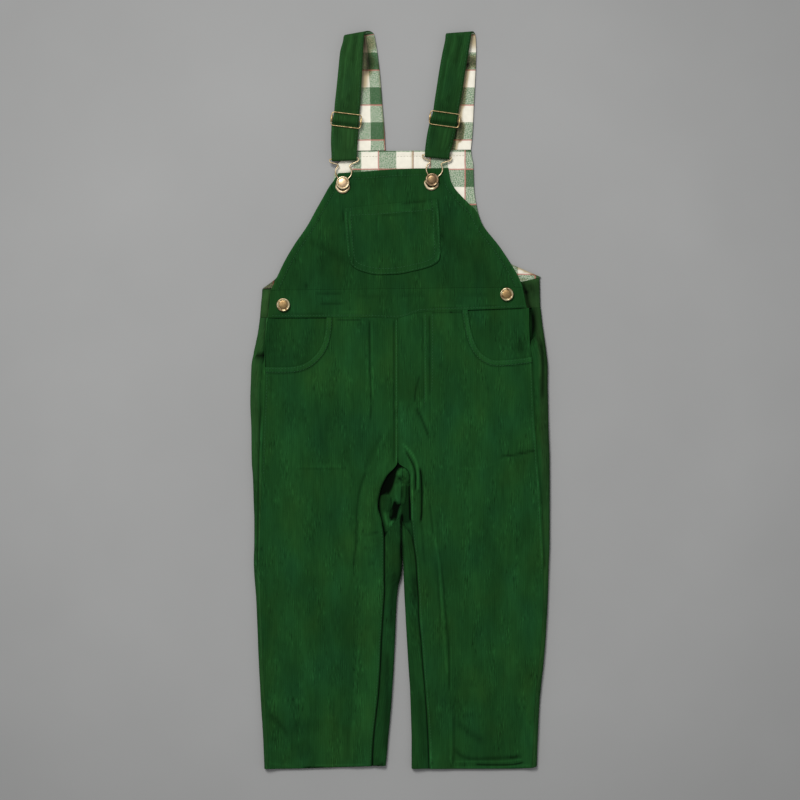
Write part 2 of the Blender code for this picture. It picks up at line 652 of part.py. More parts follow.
def half_turn(start, end, steps, direction):
    """Stations round a turn between two runs of the strap; direction is 1 for +Y, -1 for -Y."""
    radius = abs(end.z - start.z) / 2
    stations = []
    for step in range(1, steps):
        angle = math.pi * step / steps
        share = (1 - math.cos(angle)) / 2
        bulge = direction * radius * math.sin(angle)
        edges = []
        for first, last in ((start.left, end.left), (start.right, end.right)):
            x, y = lerp(first, last, share)
            edges.append((x, y + bulge))
        stations.append(Station(edges[0], edges[1], lerp(start.z, end.z, share)))
    return stations


def at_slider(strap, share, z, inset=0.0):
    """A station at the slider: share 1 is its top bar, 0 its middle bar, -1 its low bar."""
    left = lerp(strap.bar_low[0], strap.bar_top[0], (share + 1) / 2)
    right = lerp(strap.bar_low[1], strap.bar_top[1], (share + 1) / 2)
    return Station((left[0] + inset, left[1]), (right[0] - inset, right[1]), z)


def strap_stations(strap):
    """Stations of the whole strip, and how many of them the lining follows."""
    stations = list(strap.lower) + [strap.turn_in]
    stations += half_turn(strap.turn_in, strap.turn_out, TURN_STEPS, 1)
    stations += [strap.turn_out] + list(strap.upper)
    stations += [at_slider(strap, share, z) for share, z in SLIDER_WAVE]
    stations.append(strap.below)
    lined = len(stations)
    tail_start = strap.end._replace(z=TAIL_START)
    stations.append(strap.end)
    stations += half_turn(strap.end, tail_start, BEND_STEPS, -1)
    stations.append(tail_start)
    stations += [at_slider(strap, share, z, TAIL_INSET) for share, z in TAIL_WAVE]
    return stations, lined


def strap_grid(stations):
    grid = []
    for station in stations:
        row = [(*lerp(station.left, station.right, share), station.z) for share in (0, 0.5, 1)]
        grid.append(row)
    return grid


# ---------------------------------------------------------------- wires and buttons

def wire_object(name, points, wire, closed, material, parent):
    curve = bpy.data.curves.new(name, "CURVE")
    curve.dimensions = "3D"
    curve.bevel_depth = wire / 2 * MM
    curve.bevel_resolution = 2
    curve.use_fill_caps = not closed
    spline = curve.splines.new("POLY")
    spline.points.add(len(points) - 1)
    for point, (x, y) in zip(spline.points, points):
        point.co = (x * MM, y * MM, 0.0, 1.0)
    spline.use_cyclic_u = closed
    return add_object(name, curve, material, parent)


def as_mesh(curve_object):
    """The same object with its evaluated mesh in place of its curve."""
    graph = bpy.context.evaluated_depsgraph_get()
    data = bpy.data.meshes.new_from_object(curve_object.evaluated_get(graph))
    welded = bmesh.new()
    welded.from_mesh(data)
    bmesh.ops.remove_doubles(welded, verts=welded.verts, dist=0.01 * MM)
    welded.to_mesh(data)
    welded.free()
    name = curve_object.name
    parent = curve_object.parent
    material = curve_object.data.materials[0]
    bpy.data.objects.remove(curve_object)
    data.materials.clear()
    return add_object(name, data, material, parent)


def rounded_frame():
    """Outline of a slider at the middle of its wire."""
    half_width, half_height = SLIDER_HALF
    points = []
    for corner, (sx, sy) in enumerate(((1, 1), (-1, 1), (-1, -1), (1, -1))):
        for step in range(4):
            angle = math.radians(90 * corner + 30 * step)
            x = sx * (half_width - SLIDER_CORNER) + SLIDER_CORNER * math.cos(angle)
            y = sy * (half_height - SLIDER_CORNER) + SLIDER_CORNER * math.sin(angle)
            points.append((x, y))
    return points


def slider(name, place, angle, material, parent):
    frame = as_mesh(wire_object(name, rounded_frame(), SLIDER_WIRE, True, material, parent))
    half_width = SLIDER_HALF[0]
    bar_points = [(-half_width, 0.0), (half_width, 0.0)]
    bar_name = name + "_bar"
    bar = as_mesh(wire_object(bar_name, bar_points, SLIDER_BAR, False, material, parent))
    bar.hide_render = True
    bar.display_type = "WIRE"
    bpy.data.collections["bib_overalls"].objects.unlink(bar)
    bpy.data.collections["joined_pieces"].objects.link(bar)
    union = frame.modifiers.new("MiddleBar", "BOOLEAN")
    union.operation = "UNION"
    union.object = bar
    for piece in (frame, bar):
        piece.location = (place[0] * MM, place[1] * MM, SLIDER_Z * MM)
        piece.rotation_euler.z = math.radians(angle)


def clip_outline():
    right = CLIP_HALF
    left = [(-x, y) for x, y in reversed(CLIP_HALF[1:])]
    outline = right + [CLIP_BOTTOM] + left
    skewed = []
    for x, y in outline:
        skewed.append((x, y + x * math.tan(CLIP_SKEW) * smoothstep(*SKEW_ZONE, y)))
    return skewed


def clip(name, place, angle, material, parent):
    wire = wire_object(name, clip_outline(), CLIP_WIRE, True, material, parent)
    wire.location = (place[0] * MM, place[1] * MM, CLIP_Z * MM)
    wire.rotation_euler.z = math.radians(angle)


def button(name, place, shank, material, parent):
    """A head on its shank, turned about Z."""
    profile = [(r, h + shank) for r, h in BUTTON_HEAD] + [(SHANK, 0.0), (0.0, 0.0)]
    data = bpy.data.meshes.new(name)
    points = [(r * MM, 0.0, h * MM) for r, h in profile]
    edges = [(i, i + 1) for i in range(len(points) - 1)]
    data.from_pydata(points, edges, [])
    thing = add_object(name, data, material, parent)
    turn = thing.modifiers.new("Turn", "SCREW")
    turn.steps = BUTTON_STEPS
    turn.render_steps = BUTTON_STEPS
    turn.use_merge_vertices = True
    turn.merge_threshold = 0.00001
    turn.use_normal_calculate = True
    thing.location = (place[0] * MM, place[1] * MM, BUTTON_BASE * MM)


# ---------------------------------------------------------------- the garment

def clear_scene():
    for thing in list(bpy.data.objects):
        bpy.data.objects.remove(thing)


def main():
    clear_scene()
    for name in ("bib_overalls", "joined_pieces"):
        collection = bpy.data.collections.new(name)
        bpy.context.scene.collection.children.link(collection)
    garment = bpy.data.objects.new("overalls", None)
    bpy.data.collections["bib_overalls"].objects.link(garment)

    corduroy = make_material("green_corduroy", (0.012, 0.070, 0.020), 0.9)
    check = make_material("check_lining", (0.55, 0.52, 0.42), 0.9)
    brass = make_material("antique_brass", (0.45, 0.32, 0.14), 0.38, 1.0)

    legs = (("left", -1, LEFT_LEG, LEFT_SCOOP, LEFT_FACING),
            ("right", 1, RIGHT_LEG, RIGHT_SCOOP, RIGHT_FACING))
    for name, side, table, scoop, facing in legs:
        loft("back_leg_" + name, back_leg(side, table), CLOTH, corduroy, garment)
        loft("front_leg_" + name, front_leg(side, table, scoop), CLOTH, corduroy, garment)
        loft("pocket_facing_" + name, pocket_facing(side, table, facing), CLOTH, corduroy, garment)

    loft("back_waistband", back_waistband(), CLOTH, corduroy, garment)
    loft("front_waistband", front_waistband(), CLOTH, corduroy, garment)
    loft("front_bib", ruled(FRONT_BIB, BIB_SHARES, bib_height), CLOTH, corduroy, garment)
    pocket = ruled(BIB_POCKET, POCKET_SHARES, lambda x, y: bib_height(x, y) + LAYER)
    loft("bib_pocket", pocket, CLOTH, corduroy, garment)

    for name, side in (("left", -1), ("right", 1)):
        half = half_of(BACK_BIB, side)
        outer = ruled(half, HALF_BIB_SHARES, lambda x, y: FLOOR)
        lining = ruled(half, HALF_BIB_SHARES, lambda x, y: FLOOR + LINING_LAYER)
        loft("back_bib_" + name, outer, CLOTH, corduroy, garment)
        loft("back_bib_lining_" + name, lining, LINING, check, garment)

    for name, strap in (("left", STRAP_LEFT), ("right", STRAP_RIGHT)):
        stations, lined = strap_stations(strap)
        strip = strap_grid(stations)
        loft("strap_" + name, strip, CLOTH, corduroy, garment)
        lining = moved_out(strip[:lined], -LINING_LAYER)
        loft("strap_lining_" + name, lining, LINING, check, garment)
        slider("slider_" + name, *SLIDER_PLACES[name], brass, garment)
        clip("clip_" + name, *CLIP_PLACES[name], brass, garment)

    for name, (place, shank) in BUTTON_PLACES.items():
        button(name, place, shank, brass, garment)


main()
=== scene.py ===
"""A toddler's corduroy bib overalls laid flat on their back: the looks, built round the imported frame.

Tables and functions are in millimetres; meshes are in metres.
X runs across the garment, Y towards the straps, Z up from the surface that it lies on.
"left" is the side at -X and "right" the side at +X. In the leg tables a place across a leg
is its distance out from the garment's middle line, so one set of functions makes both legs.
"""
import json
import math
from collections import namedtuple

import bpy
import numpy as np
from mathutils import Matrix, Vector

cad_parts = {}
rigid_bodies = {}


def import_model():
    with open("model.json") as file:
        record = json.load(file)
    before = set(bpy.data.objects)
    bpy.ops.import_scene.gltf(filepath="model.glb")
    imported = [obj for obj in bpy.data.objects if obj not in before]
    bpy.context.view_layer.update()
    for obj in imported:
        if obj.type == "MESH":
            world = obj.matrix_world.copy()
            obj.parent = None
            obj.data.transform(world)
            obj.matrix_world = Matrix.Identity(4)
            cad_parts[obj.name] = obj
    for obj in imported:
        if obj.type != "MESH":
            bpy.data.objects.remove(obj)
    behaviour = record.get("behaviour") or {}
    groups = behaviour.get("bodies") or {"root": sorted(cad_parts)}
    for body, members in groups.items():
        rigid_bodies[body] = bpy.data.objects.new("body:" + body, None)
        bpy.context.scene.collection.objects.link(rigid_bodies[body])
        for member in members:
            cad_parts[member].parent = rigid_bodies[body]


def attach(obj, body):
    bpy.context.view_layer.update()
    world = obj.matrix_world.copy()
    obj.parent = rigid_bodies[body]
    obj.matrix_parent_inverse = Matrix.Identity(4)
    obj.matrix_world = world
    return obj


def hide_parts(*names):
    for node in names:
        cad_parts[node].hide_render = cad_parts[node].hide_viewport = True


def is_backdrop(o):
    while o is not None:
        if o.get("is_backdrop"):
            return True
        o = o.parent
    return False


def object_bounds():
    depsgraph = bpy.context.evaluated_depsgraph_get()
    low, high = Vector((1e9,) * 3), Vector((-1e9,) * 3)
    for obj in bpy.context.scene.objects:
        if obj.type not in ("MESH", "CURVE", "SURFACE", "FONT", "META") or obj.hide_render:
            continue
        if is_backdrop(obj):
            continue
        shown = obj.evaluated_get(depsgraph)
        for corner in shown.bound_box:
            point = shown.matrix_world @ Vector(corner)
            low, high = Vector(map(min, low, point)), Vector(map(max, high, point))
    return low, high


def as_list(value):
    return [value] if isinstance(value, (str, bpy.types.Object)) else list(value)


MM = 0.001

# ---------------------------------------------------------------- the garment's own sizes

# Cloth
CLOTH = 1.2             # corduroy
LINING = 1.0            # brushed cotton check
GAP = 0.3               # between layers
SEAM = 0.08             # between pieces, at seams
HALF_GAP = SEAM / 2
LAYER = CLOTH + GAP
LINING_LAYER = CLOTH / 2 + GAP + LINING / 2

# Heights of the middle of the cloth above the surface
FLOOR = CLOTH / 2       # the back, which lies on it
FRONT = 3.9             # the front from the pockets up
FRONT_LEG = 2.9         # the front of the legs
WAIST_FOLD = 3.9        # the top of the folded edges at the waist
LEG_FOLD = 5.4          # and along the legs
EDGE_REACH = 8.0        # how far in from a folded edge the front comes down again
POCKET_ZONE = (-30.0, 20.0)     # heights y over which FRONT_LEG goes over to FRONT
FOLD_ZONE = (20.0, 82.0)        # and LEG_FOLD to WAIST_FOLD
CREASE_SHARE = 0.8      # the press line's place, as a share of the way from seam to inseam,
CREASE_WIDTH = 0.05     # half the width of its step, as such a share,
CREASE_LIFT = 0.9       # how much higher the cloth lies inward of it,
CREASE_ZONE = (-180.0, -120.0)  # and the heights y over which it fades out upwards
BUNCH = 3.2             # how much higher the inner folds stand just below the crotch,
BUNCH_Y = -142.0        # where,
BUNCH_REACH = 32.0      # and over what length

# Seams across the whole garment, as (x, y)
WAIST_SEAM = [(-142, 82), (-40, 82.5), (-2.5, 81.5), (15.5, 86.5), (30.5, 88.5), (142, 92.5)]
BACK_WAIST_SEAM = [(-142, 82), (142, 92.5)]
BIB_SEAM = [(-142, 109.4), (142, 112.9)]
BACK_WAIST_TOP = [(-142, 110.8), (142, 122.4)]
BACK_SEAM_X = 13.5
BACK_SEAM = [(-106.0, 0.5), (92.0, 13.5)]       # as (y, x)

LegRow = namedtuple("LegRow", "y fold wrap seam inseam inner round lip pucker")

LEFT_LEG = [
    LegRow(82.0, 140.0, 132.1, 131.8, 2.4, 0.15, 0, 0, 0),
    LegRow(70.0, 141.5, 133.1, 132.8, 2.4, 0.15, 0, 0, 0),
    LegRow(57.5, 144.0, 134.1, 133.8, 2.4, 0.15, 0, 0, 0),
    LegRow(45.5, 146.5, 134.6, 134.3, 2.4, 0.15, 0, 0, 0),
    LegRow(33.5, 148.5, 134.7, 134.4, 2.4, 0.15, 0, 0, 0),
    LegRow(19.5, 149.0, 134.9, 134.6, 2.4, 0.15, 0, 0, 0),
    LegRow(-0.5, 149.5, 135.6, 135.3, 2.4, 0.15, 0, 0, 0),
    LegRow(-30.5, 148.5, 136.9, 136.6, 2.4, 0.15, 0, 0, 0),
    LegRow(-62.5, 148.0, 138.0, 137.7, 2.7, 0.15, 0, 0, 0.6),
    LegRow(-76.0, 147.0, 138.3, 138.0, 13.2, 0.2, 0, 0.8, 1.6),
    LegRow(-91.0, 146.5, 138.6, 138.3, 19.6, 0.3, 0, 1, 2.4),
    LegRow(-106.0, 146.0, 139.2, 138.9, 21.9, 0.8, 0, 1, 1.2),
    LegRow(-121.0, 145.5, 139.6, 139.3, 18.3, -0.55, 0.4, 0.6, 0),
    LegRow(-141.0, 145.5, 140.1, 139.8, 15.8, -1.7, 1, 0, 0),
    LegRow(-161.0, 146.0, 140.6, 140.3, 15.8, -2.2, 1, 0, 0),
    LegRow(-176.0, 145.4, 140.3, 140.0, 15.8, -1.4, 1, 0, 0),
    LegRow(-184.0, 144.8, 140.0, 139.7, 15.7, 1.2, 1, 0, 0),
    LegRow(-201.0, 143.5, 139.2, 138.9, 16.0, 3.2, 1, 0, 0),
    LegRow(-251.0, 141.5, 137.2, 136.9, 19.1, 5.5, 1, 0, 0),
    LegRow(-301.0, 139.0, 134.7, 134.4, 22.4, 8.5, 1, 0, 0),
    LegRow(-341.0, 136.5, 132.2, 131.9, 26.7, 12.0, 1, 0, 0),
    LegRow(-368.5, 135.5, 131.2, 130.9, 28.3, 14.5, 1, 0, 0),
]
RIGHT_LEG = [
    LegRow(92.0, 140.5, 131.5, 128.9, -2.1, 0.15, 0, 0, 0),
    LegRow(76.0, 142.3, 135.2, 129.0, -2.1, 0.15, 0, 0, 0),
    LegRow(66.0, 143.8, 136.5, 129.3, -2.1, 0.15, 0, 0, 0),
    LegRow(57.5, 145.0, 130.5, 129.9, -2.1, 0.15, 0, 0, 0),
    LegRow(45.5, 146.5, 131.6, 131.3, -2.1, 0.15, 0, 0, 0),
    LegRow(33.5, 147.5, 132.6, 132.3, -2.1, 0.15, 0, 0, 0),
    LegRow(19.5, 147.5, 133.1, 132.8, -2.1, 0.15, 0, 0, 0),
    LegRow(-0.5, 147.8, 133.6, 133.3, -2.1, 0.15, 0, 0, 0),
    LegRow(-30.5, 148.5, 135.1, 134.8, -2.1, 0.15, 0, 0, 0),
    LegRow(-62.5, 149.5, 137.6, 137.3, -1.8, 0.15, 0, 0, 0.6),
    LegRow(-70.0, 149.5, 138.1, 137.8, 8.0, 0.2, 0, 0.5, 1.0),
    LegRow(-76.0, 149.5, 138.6, 138.3, 9.7, 0.2, 0, 0.8, 1.6),
    LegRow(-91.0, 149.5, 139.6, 139.3, 9.7, 0.3, 0, 1, 2.4),
    LegRow(-106.0, 149.5, 140.4, 140.1, 10.6, 0.8, 0, 1, 1.2),
    LegRow(-121.0, 149.5, 141.1, 140.8, 11.1, 0.6, 0.4, 0.6, 0),
    LegRow(-141.0, 149.5, 142.3, 142.0, 12.8, 1.75, 1, 0, 0),
    LegRow(-161.0, 148.8, 143.6, 143.3, 15.9, 3.0, 1, 0, 0),
    LegRow(-201.0, 147.5, 143.2, 142.9, 18.4, 4.7, 1, 0, 0),
    LegRow(-251.0, 144.5, 140.2, 139.9, 21.8, 7.5, 1, 0, 0),
    LegRow(-301.0, 139.5, 135.2, 134.9, 25.9, 10.5, 1, 0, 0),
    LegRow(-341.0, 137.5, 133.2, 132.9, 28.8, 11.5, 1, 0, 0),
    LegRow(-368.5, 136.5, 132.2, 131.9, 29.5, 11.5, 1, 0, 0),
]

# The scoop of a front pocket, from the side seam round to the waistband, as (out, y)
LEFT_SCOOP = [(134.3, 33.0), (121.0, 32.7), (108.5, 33.0), (96.0, 36.0), (85.5, 43.5),
              (77.5, 55.5), (74.0, 71.5), (73.5, 82.0)]
RIGHT_SCOOP = [(131.4, 43.0), (120.0, 41.3), (108.0, 40.0), (95.5, 39.5), (83.0, 45.0),
               (75.5, 55.5), (70.5, 71.5), (67.5, 90.0)]
LEFT_HEM = [(11, -365.2), (16, -365.3), (60, -366.8), (120, -368.4), (136, -368.4)]     # (out, y)
RIGHT_HEM = [(9, -367.6), (13, -368.4), (110, -368.4), (128, -367.6), (137, -366.0)]
LIP_DROP = 2.8          # how far the front panel's edge turns down at the crotch
LIP_SHIFT = 0.7
LIP_WIDTH = 2.4

# The inner edge of a pocket facing, behind the front panel, as (out, y)
LEFT_FACING = [(64.5, 82.0), (65.5, 68.0), (70.0, 51.0), (79.0, 37.5), (91.0, 28.5),
               (108.0, 24.5), (124.0, 26.0), (134.1, 29.0)]
RIGHT_FACING = [(58.5, 90.0), (60.5, 71.0), (66.5, 50.5), (76.0, 38.5), (92.0, 31.0),
                (106.0, 30.5), (121.0, 33.0), (131.0, 37.5)]
FACING_DROP = LAYER + 0.2
FACING_REACH = 10.0
FACING_ZONE = (40.0, 55.0)

# Two edges of a panel: the (x, y) of both ends of each row
EdgeRow = namedtuple("EdgeRow", "left right")
FRONT_BIB = [
    EdgeRow((-61.5, 226.5), (48.5, 229.5)),
    EdgeRow((-65.5, 220.0), (50.5, 219.5)),
    EdgeRow((-71.0, 212.5), (54.5, 211.5)),
    EdgeRow((-75.5, 204.5), (60.5, 204.5)),
    EdgeRow((-80.0, 196.5), (68.5, 196.5)),
    EdgeRow((-84.0, 189.5), (75.5, 189.5)),
    EdgeRow((-92.5, 174.0), (83.5, 173.5)),
    EdgeRow((-105.5, 155.0), (98.0, 155.0)),
    EdgeRow((-115.5, 138.0), (109.5, 138.0)),
    EdgeRow((-122.0, 124.5), (117.5, 124.5)),
    EdgeRow((-129.0, 109.85), (122.5, 113.0)),
]
# The bib's top edge as (x, y): it rises a little in the middle, where the cloth is eased
BIB_TOP = [(-61.5, 226.5), (-39, 227.8), (-6, 230.5), (12, 231.1), (48.5, 231.7)]
BACK_BIB = [
    EdgeRow((-47.0, 248.5), (71.0, 249.5)),
    EdgeRow((-54.0, 243.0), (71.5, 244.0)),
    EdgeRow((-62.0, 236.0), (73.2, 236.0)),
    EdgeRow((-65.0, 228.0), (73.5, 228.0)),
    EdgeRow((-68.0, 213.5), (74.0, 211.0)),
    EdgeRow((-76.0, 197.5), (76.5, 194.5)),
    EdgeRow((-84.5, 181.5), (80.0, 181.5)),
    EdgeRow((-94.0, 165.5), (86.5, 166.0)),
    EdgeRow((-105.0, 149.5), (96.5, 150.0)),
    EdgeRow((-114.0, 135.0), (108.0, 137.5)),
    EdgeRow((-124.0, 121.5), (122.0, 131.0)),
    EdgeRow((-137.3, 111.3), (141.0, 122.7)),
]
POCKET_TOP = [(-55.5, 191.5), (37.5, 200.5)]
POCKET_LEFT = [(191.5, -55.5), (180.0, -54.8), (163.0, -53.8), (148.0, -52.5)]    # as (y, x)
POCKET_RIGHT = [(200.5, 37.5), (188.0, 39.0), (168.0, 40.0), (150.0, 40.8)]
POCKET_BOTTOM = [(-52.5, 148.0), (-50.5, 138.0), (-46.0, 132.0), (-37.0, 128.0), (-22.0, 125.0),
                 (-3.0, 125.6), (15.0, 129.0), (28.0, 132.5), (35.5, 136.0), (39.6, 141.0),
                 (40.8, 150.0)]

# Waistbands: x of the front band's ends and of the back band's folds, at the top and bottom edges
FRONT_BAND_LEFT = (-129.2, -131.8)
FRONT_BAND_RIGHT = (122.7, 128.9)
BAND_TOP = 111.0
BAND_WIDTH = 30.0
BACK_FOLD_LEFT = (-137.5, -140.0)
BACK_FOLD_RIGHT = (139.7, 140.5)
TAB_TOP_LEFT = [(-142, 110.3), (-100, 110.3)]
TAB_TOP_RIGHT = [(100, 113.9), (139.5, 121.6), (142, 122.0)]
TAB_LENGTH = 24.0
TAB_HEIGHT = FLOOR + LAYER
TAB_SLOPE = 12.0
BAND_LIFT = LAYER + 0.3
BIB_LIFT_ZONE = (110.0, 126.0)

# Straps
Station = namedtuple("Station", "left right z")
Strap = namedtuple("Strap", "lower turn_in turn_out upper bar_top bar_low below end")
STRAP_WIDTH = 27.0
STRAP_TOP = 8.3
STRAP_DIP = 6.3
STRAP_RISE = 11.1
STRAP_BELOW = 7.4
STRAP_END = 7.65
TAIL_START = 3.95
TAIL = 3.45
TAIL_INSET = 0.8
SLIDER_WAVE = ((1.0, STRAP_DIP), (0.75, 6.9), (0.24, 10.8), (0.0, STRAP_RISE),
               (-0.24, 10.8), (-0.75, 6.9), (-1.0, STRAP_DIP))
TAIL_WAVE = ((-1.0, TAIL), (-0.75, TAIL + 0.05), (-0.07, 5.95))
TURN_STEPS = 12
BEND_STEPS = 8

STRAP_LEFT = Strap(
    lower=[
        Station((-44.0, 248.9), (-14.5, 249.2), FLOOR),
        Station((-44.5, 269.5), (-15.5, 269.5), FLOOR),
        Station((-45.5, 289.5), (-17.2, 289.5), FLOOR),
        Station((-46.7, 309.5), (-18.7, 309.5), FLOOR),
        Station((-48.5, 329.5), (-20.5, 329.5), FLOOR),
        Station((-51.0, 349.5), (-23.0, 349.5), FLOOR),
    ],
    turn_in=Station((-52.8, 360.0), (-25.5, 364.2), FLOOR),
    turn_out=Station((-56.5, 360.0), (-35.7, 364.2), STRAP_TOP),
    upper=[
        Station((-59.7, 347.0), (-36.6, 349.5), STRAP_TOP),
        Station((-61.5, 329.5), (-37.5, 329.5), STRAP_TOP),
        Station((-63.5, 309.5), (-38.6, 309.5), STRAP_TOP),
        Station((-65.2, 293.8), (-39.9, 291.0), STRAP_TOP - 0.4),
    ],
    bar_top=((-65.7, 287.1), (-40.5, 284.0)),
    bar_low=((-68.3, 274.0), (-41.3, 270.6)),
    below=Station((-68.9, 257.5), (-42.4, 255.5), STRAP_BELOW),
    end=Station((-68.3, 240.4), (-43.1, 241.5), STRAP_END),
)
STRAP_RIGHT = Strap(
    lower=[
        Station((43.2, 249.65), (70.8, 249.9), FLOOR),
        Station((44.7, 269.5), (72.7, 269.5), FLOOR),
        Station((45.8, 294.5), (73.8, 294.5), FLOOR),
        Station((47.0, 317.0), (75.0, 317.0), FLOOR),
        Station((47.7, 333.0), (75.7, 333.0), FLOOR),
        Station((48.0, 349.5), (76.1, 349.5), FLOOR),
    ],
    turn_in=Station((47.3, 361.6), (75.5, 363.6), FLOOR),
    turn_out=Station((45.2, 361.6), (71.0, 363.6), STRAP_TOP),
    upper=[
        Station((42.3, 346.5), (68.6, 347.5), STRAP_TOP),
        Station((39.4, 330.5), (65.4, 329.5), STRAP_TOP),
        Station((36.4, 311.0), (62.6, 310.0), STRAP_TOP),
        Station((34.0, 295.5), (59.3, 292.0), STRAP_TOP - 0.4),
    ],
    bar_top=((33.0, 288.2), (58.1, 284.7)),
    bar_low=((29.2, 275.2), (56.2, 271.4)),
    below=Station((26.2, 260.0), (53.0, 257.0), STRAP_BELOW),
    end=Station((24.7, 244.8), (49.3, 242.3), STRAP_END),
)

# Sliders
SLIDER_WIRE = 1.1
SLIDER_BAR = 1.1
SLIDER_Z = 8.05
SLIDER_HALF = (14.8, 6.7)
SLIDER_CORNER = 2.6
SLIDER_PLACES = {"left": ((-53.6, 278.9), -7.0), "right": ((44.5, 279.9), -8.0)}

# Clips
CLIP_WIRE = 1.4
CLIP_Z = 5.8
CLIP_HALF = [
    (0.0, 24.5), (12.6, 24.5), (14.3, 23.4), (13.5, 21.2), (7.6, 19.0), (5.7, 17.0), (7.4, 14.2),
    (8.1, 11.0), (7.2, 7.5), (5.0, 4.2), (5.2, 1.0), (6.3, -2.5), (6.2, -4.7), (4.5, -6.6),
    (2.7, -8.3),
]
CLIP_BOTTOM = (0.0, -9.0)
CLIP_PRESSED = (1.5, 0.6)       # the wire's half width and half height in the flat loop at its bottom
CLIP_SKEW = math.radians(6.0)
SKEW_ZONE = (17.0, 21.0)
CLIP_PLACES = {"left": ((-57.0, 216.5), -3.5), "right": ((32.0, 219.5), -12.0)}

# Buttons
BUTTON_PROFILE = [
    (0.0, 2.55), (1.5, 2.52), (3.0, 2.42), (4.2, 2.25), (4.75, 2.05), (4.95, 1.75), (5.15, 1.7),
    (5.4, 1.95), (5.75, 2.3), (6.2, 2.42), (6.7, 2.3), (7.1, 1.9), (7.25, 1.35), (7.15, 0.7),
    (6.6, 0.25), (5.5, 0.0), (2.4, 0.0),
]
SHANK = 2.4
BIB_SHANK = 2.2
SIDE_SHANK = 0.8
DOME_RINGS = 3          # the profile's first steps are the dome inside the rim
BUTTON_STEPS = 64
BUTTON_BASE = FRONT + CLOTH / 2 + GAP
Fastening = namedtuple("Fastening", "place shank scale rim face")
BUTTONS = {
    "bib_button_left": Fastening((-57.0, 216.5), BIB_SHANK, 0.92, "bright_rim", "pale"),
    "bib_button_right": Fastening((32.0, 219.5), BIB_SHANK, 0.92, "dark_rim", "dark"),
    "side_button_left": Fastening((-116.4, 94.9), SIDE_SHANK, 0.93, "pale_rim", "worn"),
    "side_button_right": Fastening((106.5, 105.4), SIDE_SHANK, 0.93, "pale_rim", "worn"),
}
# The colour of the brass, and of its patina
BRASS = {
    "wire": ((0.56, 0.42, 0.21), (0.30, 0.20, 0.09)),
    "clip": ((0.68, 0.56, 0.37), (0.38, 0.28, 0.15)),
    "bright_rim": ((0.72, 0.60, 0.40), (0.46, 0.34, 0.20)),
    "dark_rim": ((0.42, 0.31, 0.19), (0.20, 0.13, 0.07)),
    "pale_rim": ((0.62, 0.53, 0.33), (0.24, 0.15, 0.07)),
    "pale": ((0.72, 0.52, 0.32), (0.55, 0.38, 0.22)),
    "dark": ((0.25, 0.165, 0.09), (0.15, 0.095, 0.05)),
    "worn": ((0.32, 0.215, 0.095), (0.23, 0.145, 0.065)),
}
SEAM_STRIP = 10.0

# ---------------------------------------------------------------- sizes of the looks

WALE = 2.2              # from one cord of the corduroy to the next
COLUMNS_PER_WALE = 3
COLUMN = WALE / COLUMNS_PER_WALE
RIB = 0.28              # how far a cord stands above the groove beside it
RIB_FADE = (0.4, 2.5)   # the cords flatten towards a cut edge over these distances
CORD_RUN = 16.0         # how long a cord stays as full or as worn as it is
WEAR = 14.0             # how wide a worn place is
EDGE_STEPS = (0.0, 0.25, 0.6)   # extra points beside an edge, which round it
EDGE_INSET = 1.4                # and the first point of the even grid
HEM_ROW = 0.9           # from one row of points to the next, at the hems,
WAIST_ROW = 1.6         # below the waistband,
FINE_ROW = 2.2          # at the crotch and on the bib,
ROW = 3.4               # on the rest of the front,
HIDDEN_ROW = 5.0        # and on the back
LINING_ROW_STEP = 3.0   # and on the lining,
LINING_COLUMN = 1.4     # and from one of its columns to the next
PULLS = 5               # how often a grid is pulled in to its outline, so that its corners fit
FAR = 1e5               # outside everything
TOUCH = 1e-3            # a point this near an edge lies on it
TURNED = 0.999          # from this share on, a turn of the cloth is done

# The grid of points that each piece but the straps is cut from. Columns are counted from the middle
# line: the first, and the one after the last. The rows come in zones of (low, high, step).
COLUMNS = {
    "front_leg": (-2, 210),
    "back_leg": (-30, 220),
    "pocket_facing": (70, 190),
    "front_waistband": (-185, 186),
    "front_bib": (-185, 186),
    "bib_pocket": (-80, 60),
    "back_waistband": (-230, 231),
    "back_bib": (-197, 197),
    "back_bib_lining": (-103, 103),
}
ROWS = {
    "front_leg": [(-370, -352, HEM_ROW), (-352, -150, ROW), (-150, -40, FINE_ROW), (-40, 20, ROW),
                  (20, 94, WAIST_ROW)],
    "back_leg": [(-370, -150, HIDDEN_ROW), (-150, -50, FINE_ROW), (-50, 94, HIDDEN_ROW)],
    "pocket_facing": [(20, 94, FINE_ROW)],
    "front_waistband": [(78, 116, 2.0)],
    "front_bib": [(108, 232, FINE_ROW)],
    "bib_pocket": [(124, 202, FINE_ROW)],
    "back_waistband": [(78, 126, 3.0)],
    "back_bib": [(105, 251, HIDDEN_ROW)],
    "back_bib_lining": [(105, 251, LINING_ROW_STEP)],
}


# ---------------------------------------------------------------- small helpers

def mix(a, b, share):
    return a + (b - a) * share


def between(a, b, share):
    """The point that lies a share of the way from a to b."""
    return tuple(mix(p, q, share) for p, q in zip(a, b))


def smoothstep(low, high, value):
    share = np.clip((np.asarray(value, dtype=float) - low) / (high - low), 0.0, 1.0)
    return share * share * (3 - 2 * share)


def broken(line):
    """The broken line through (place, value) points, as a function."""
    places = [place for place, value in line]
    values = [value for place, value in line]
    return lambda place: np.interp(place, places, values)


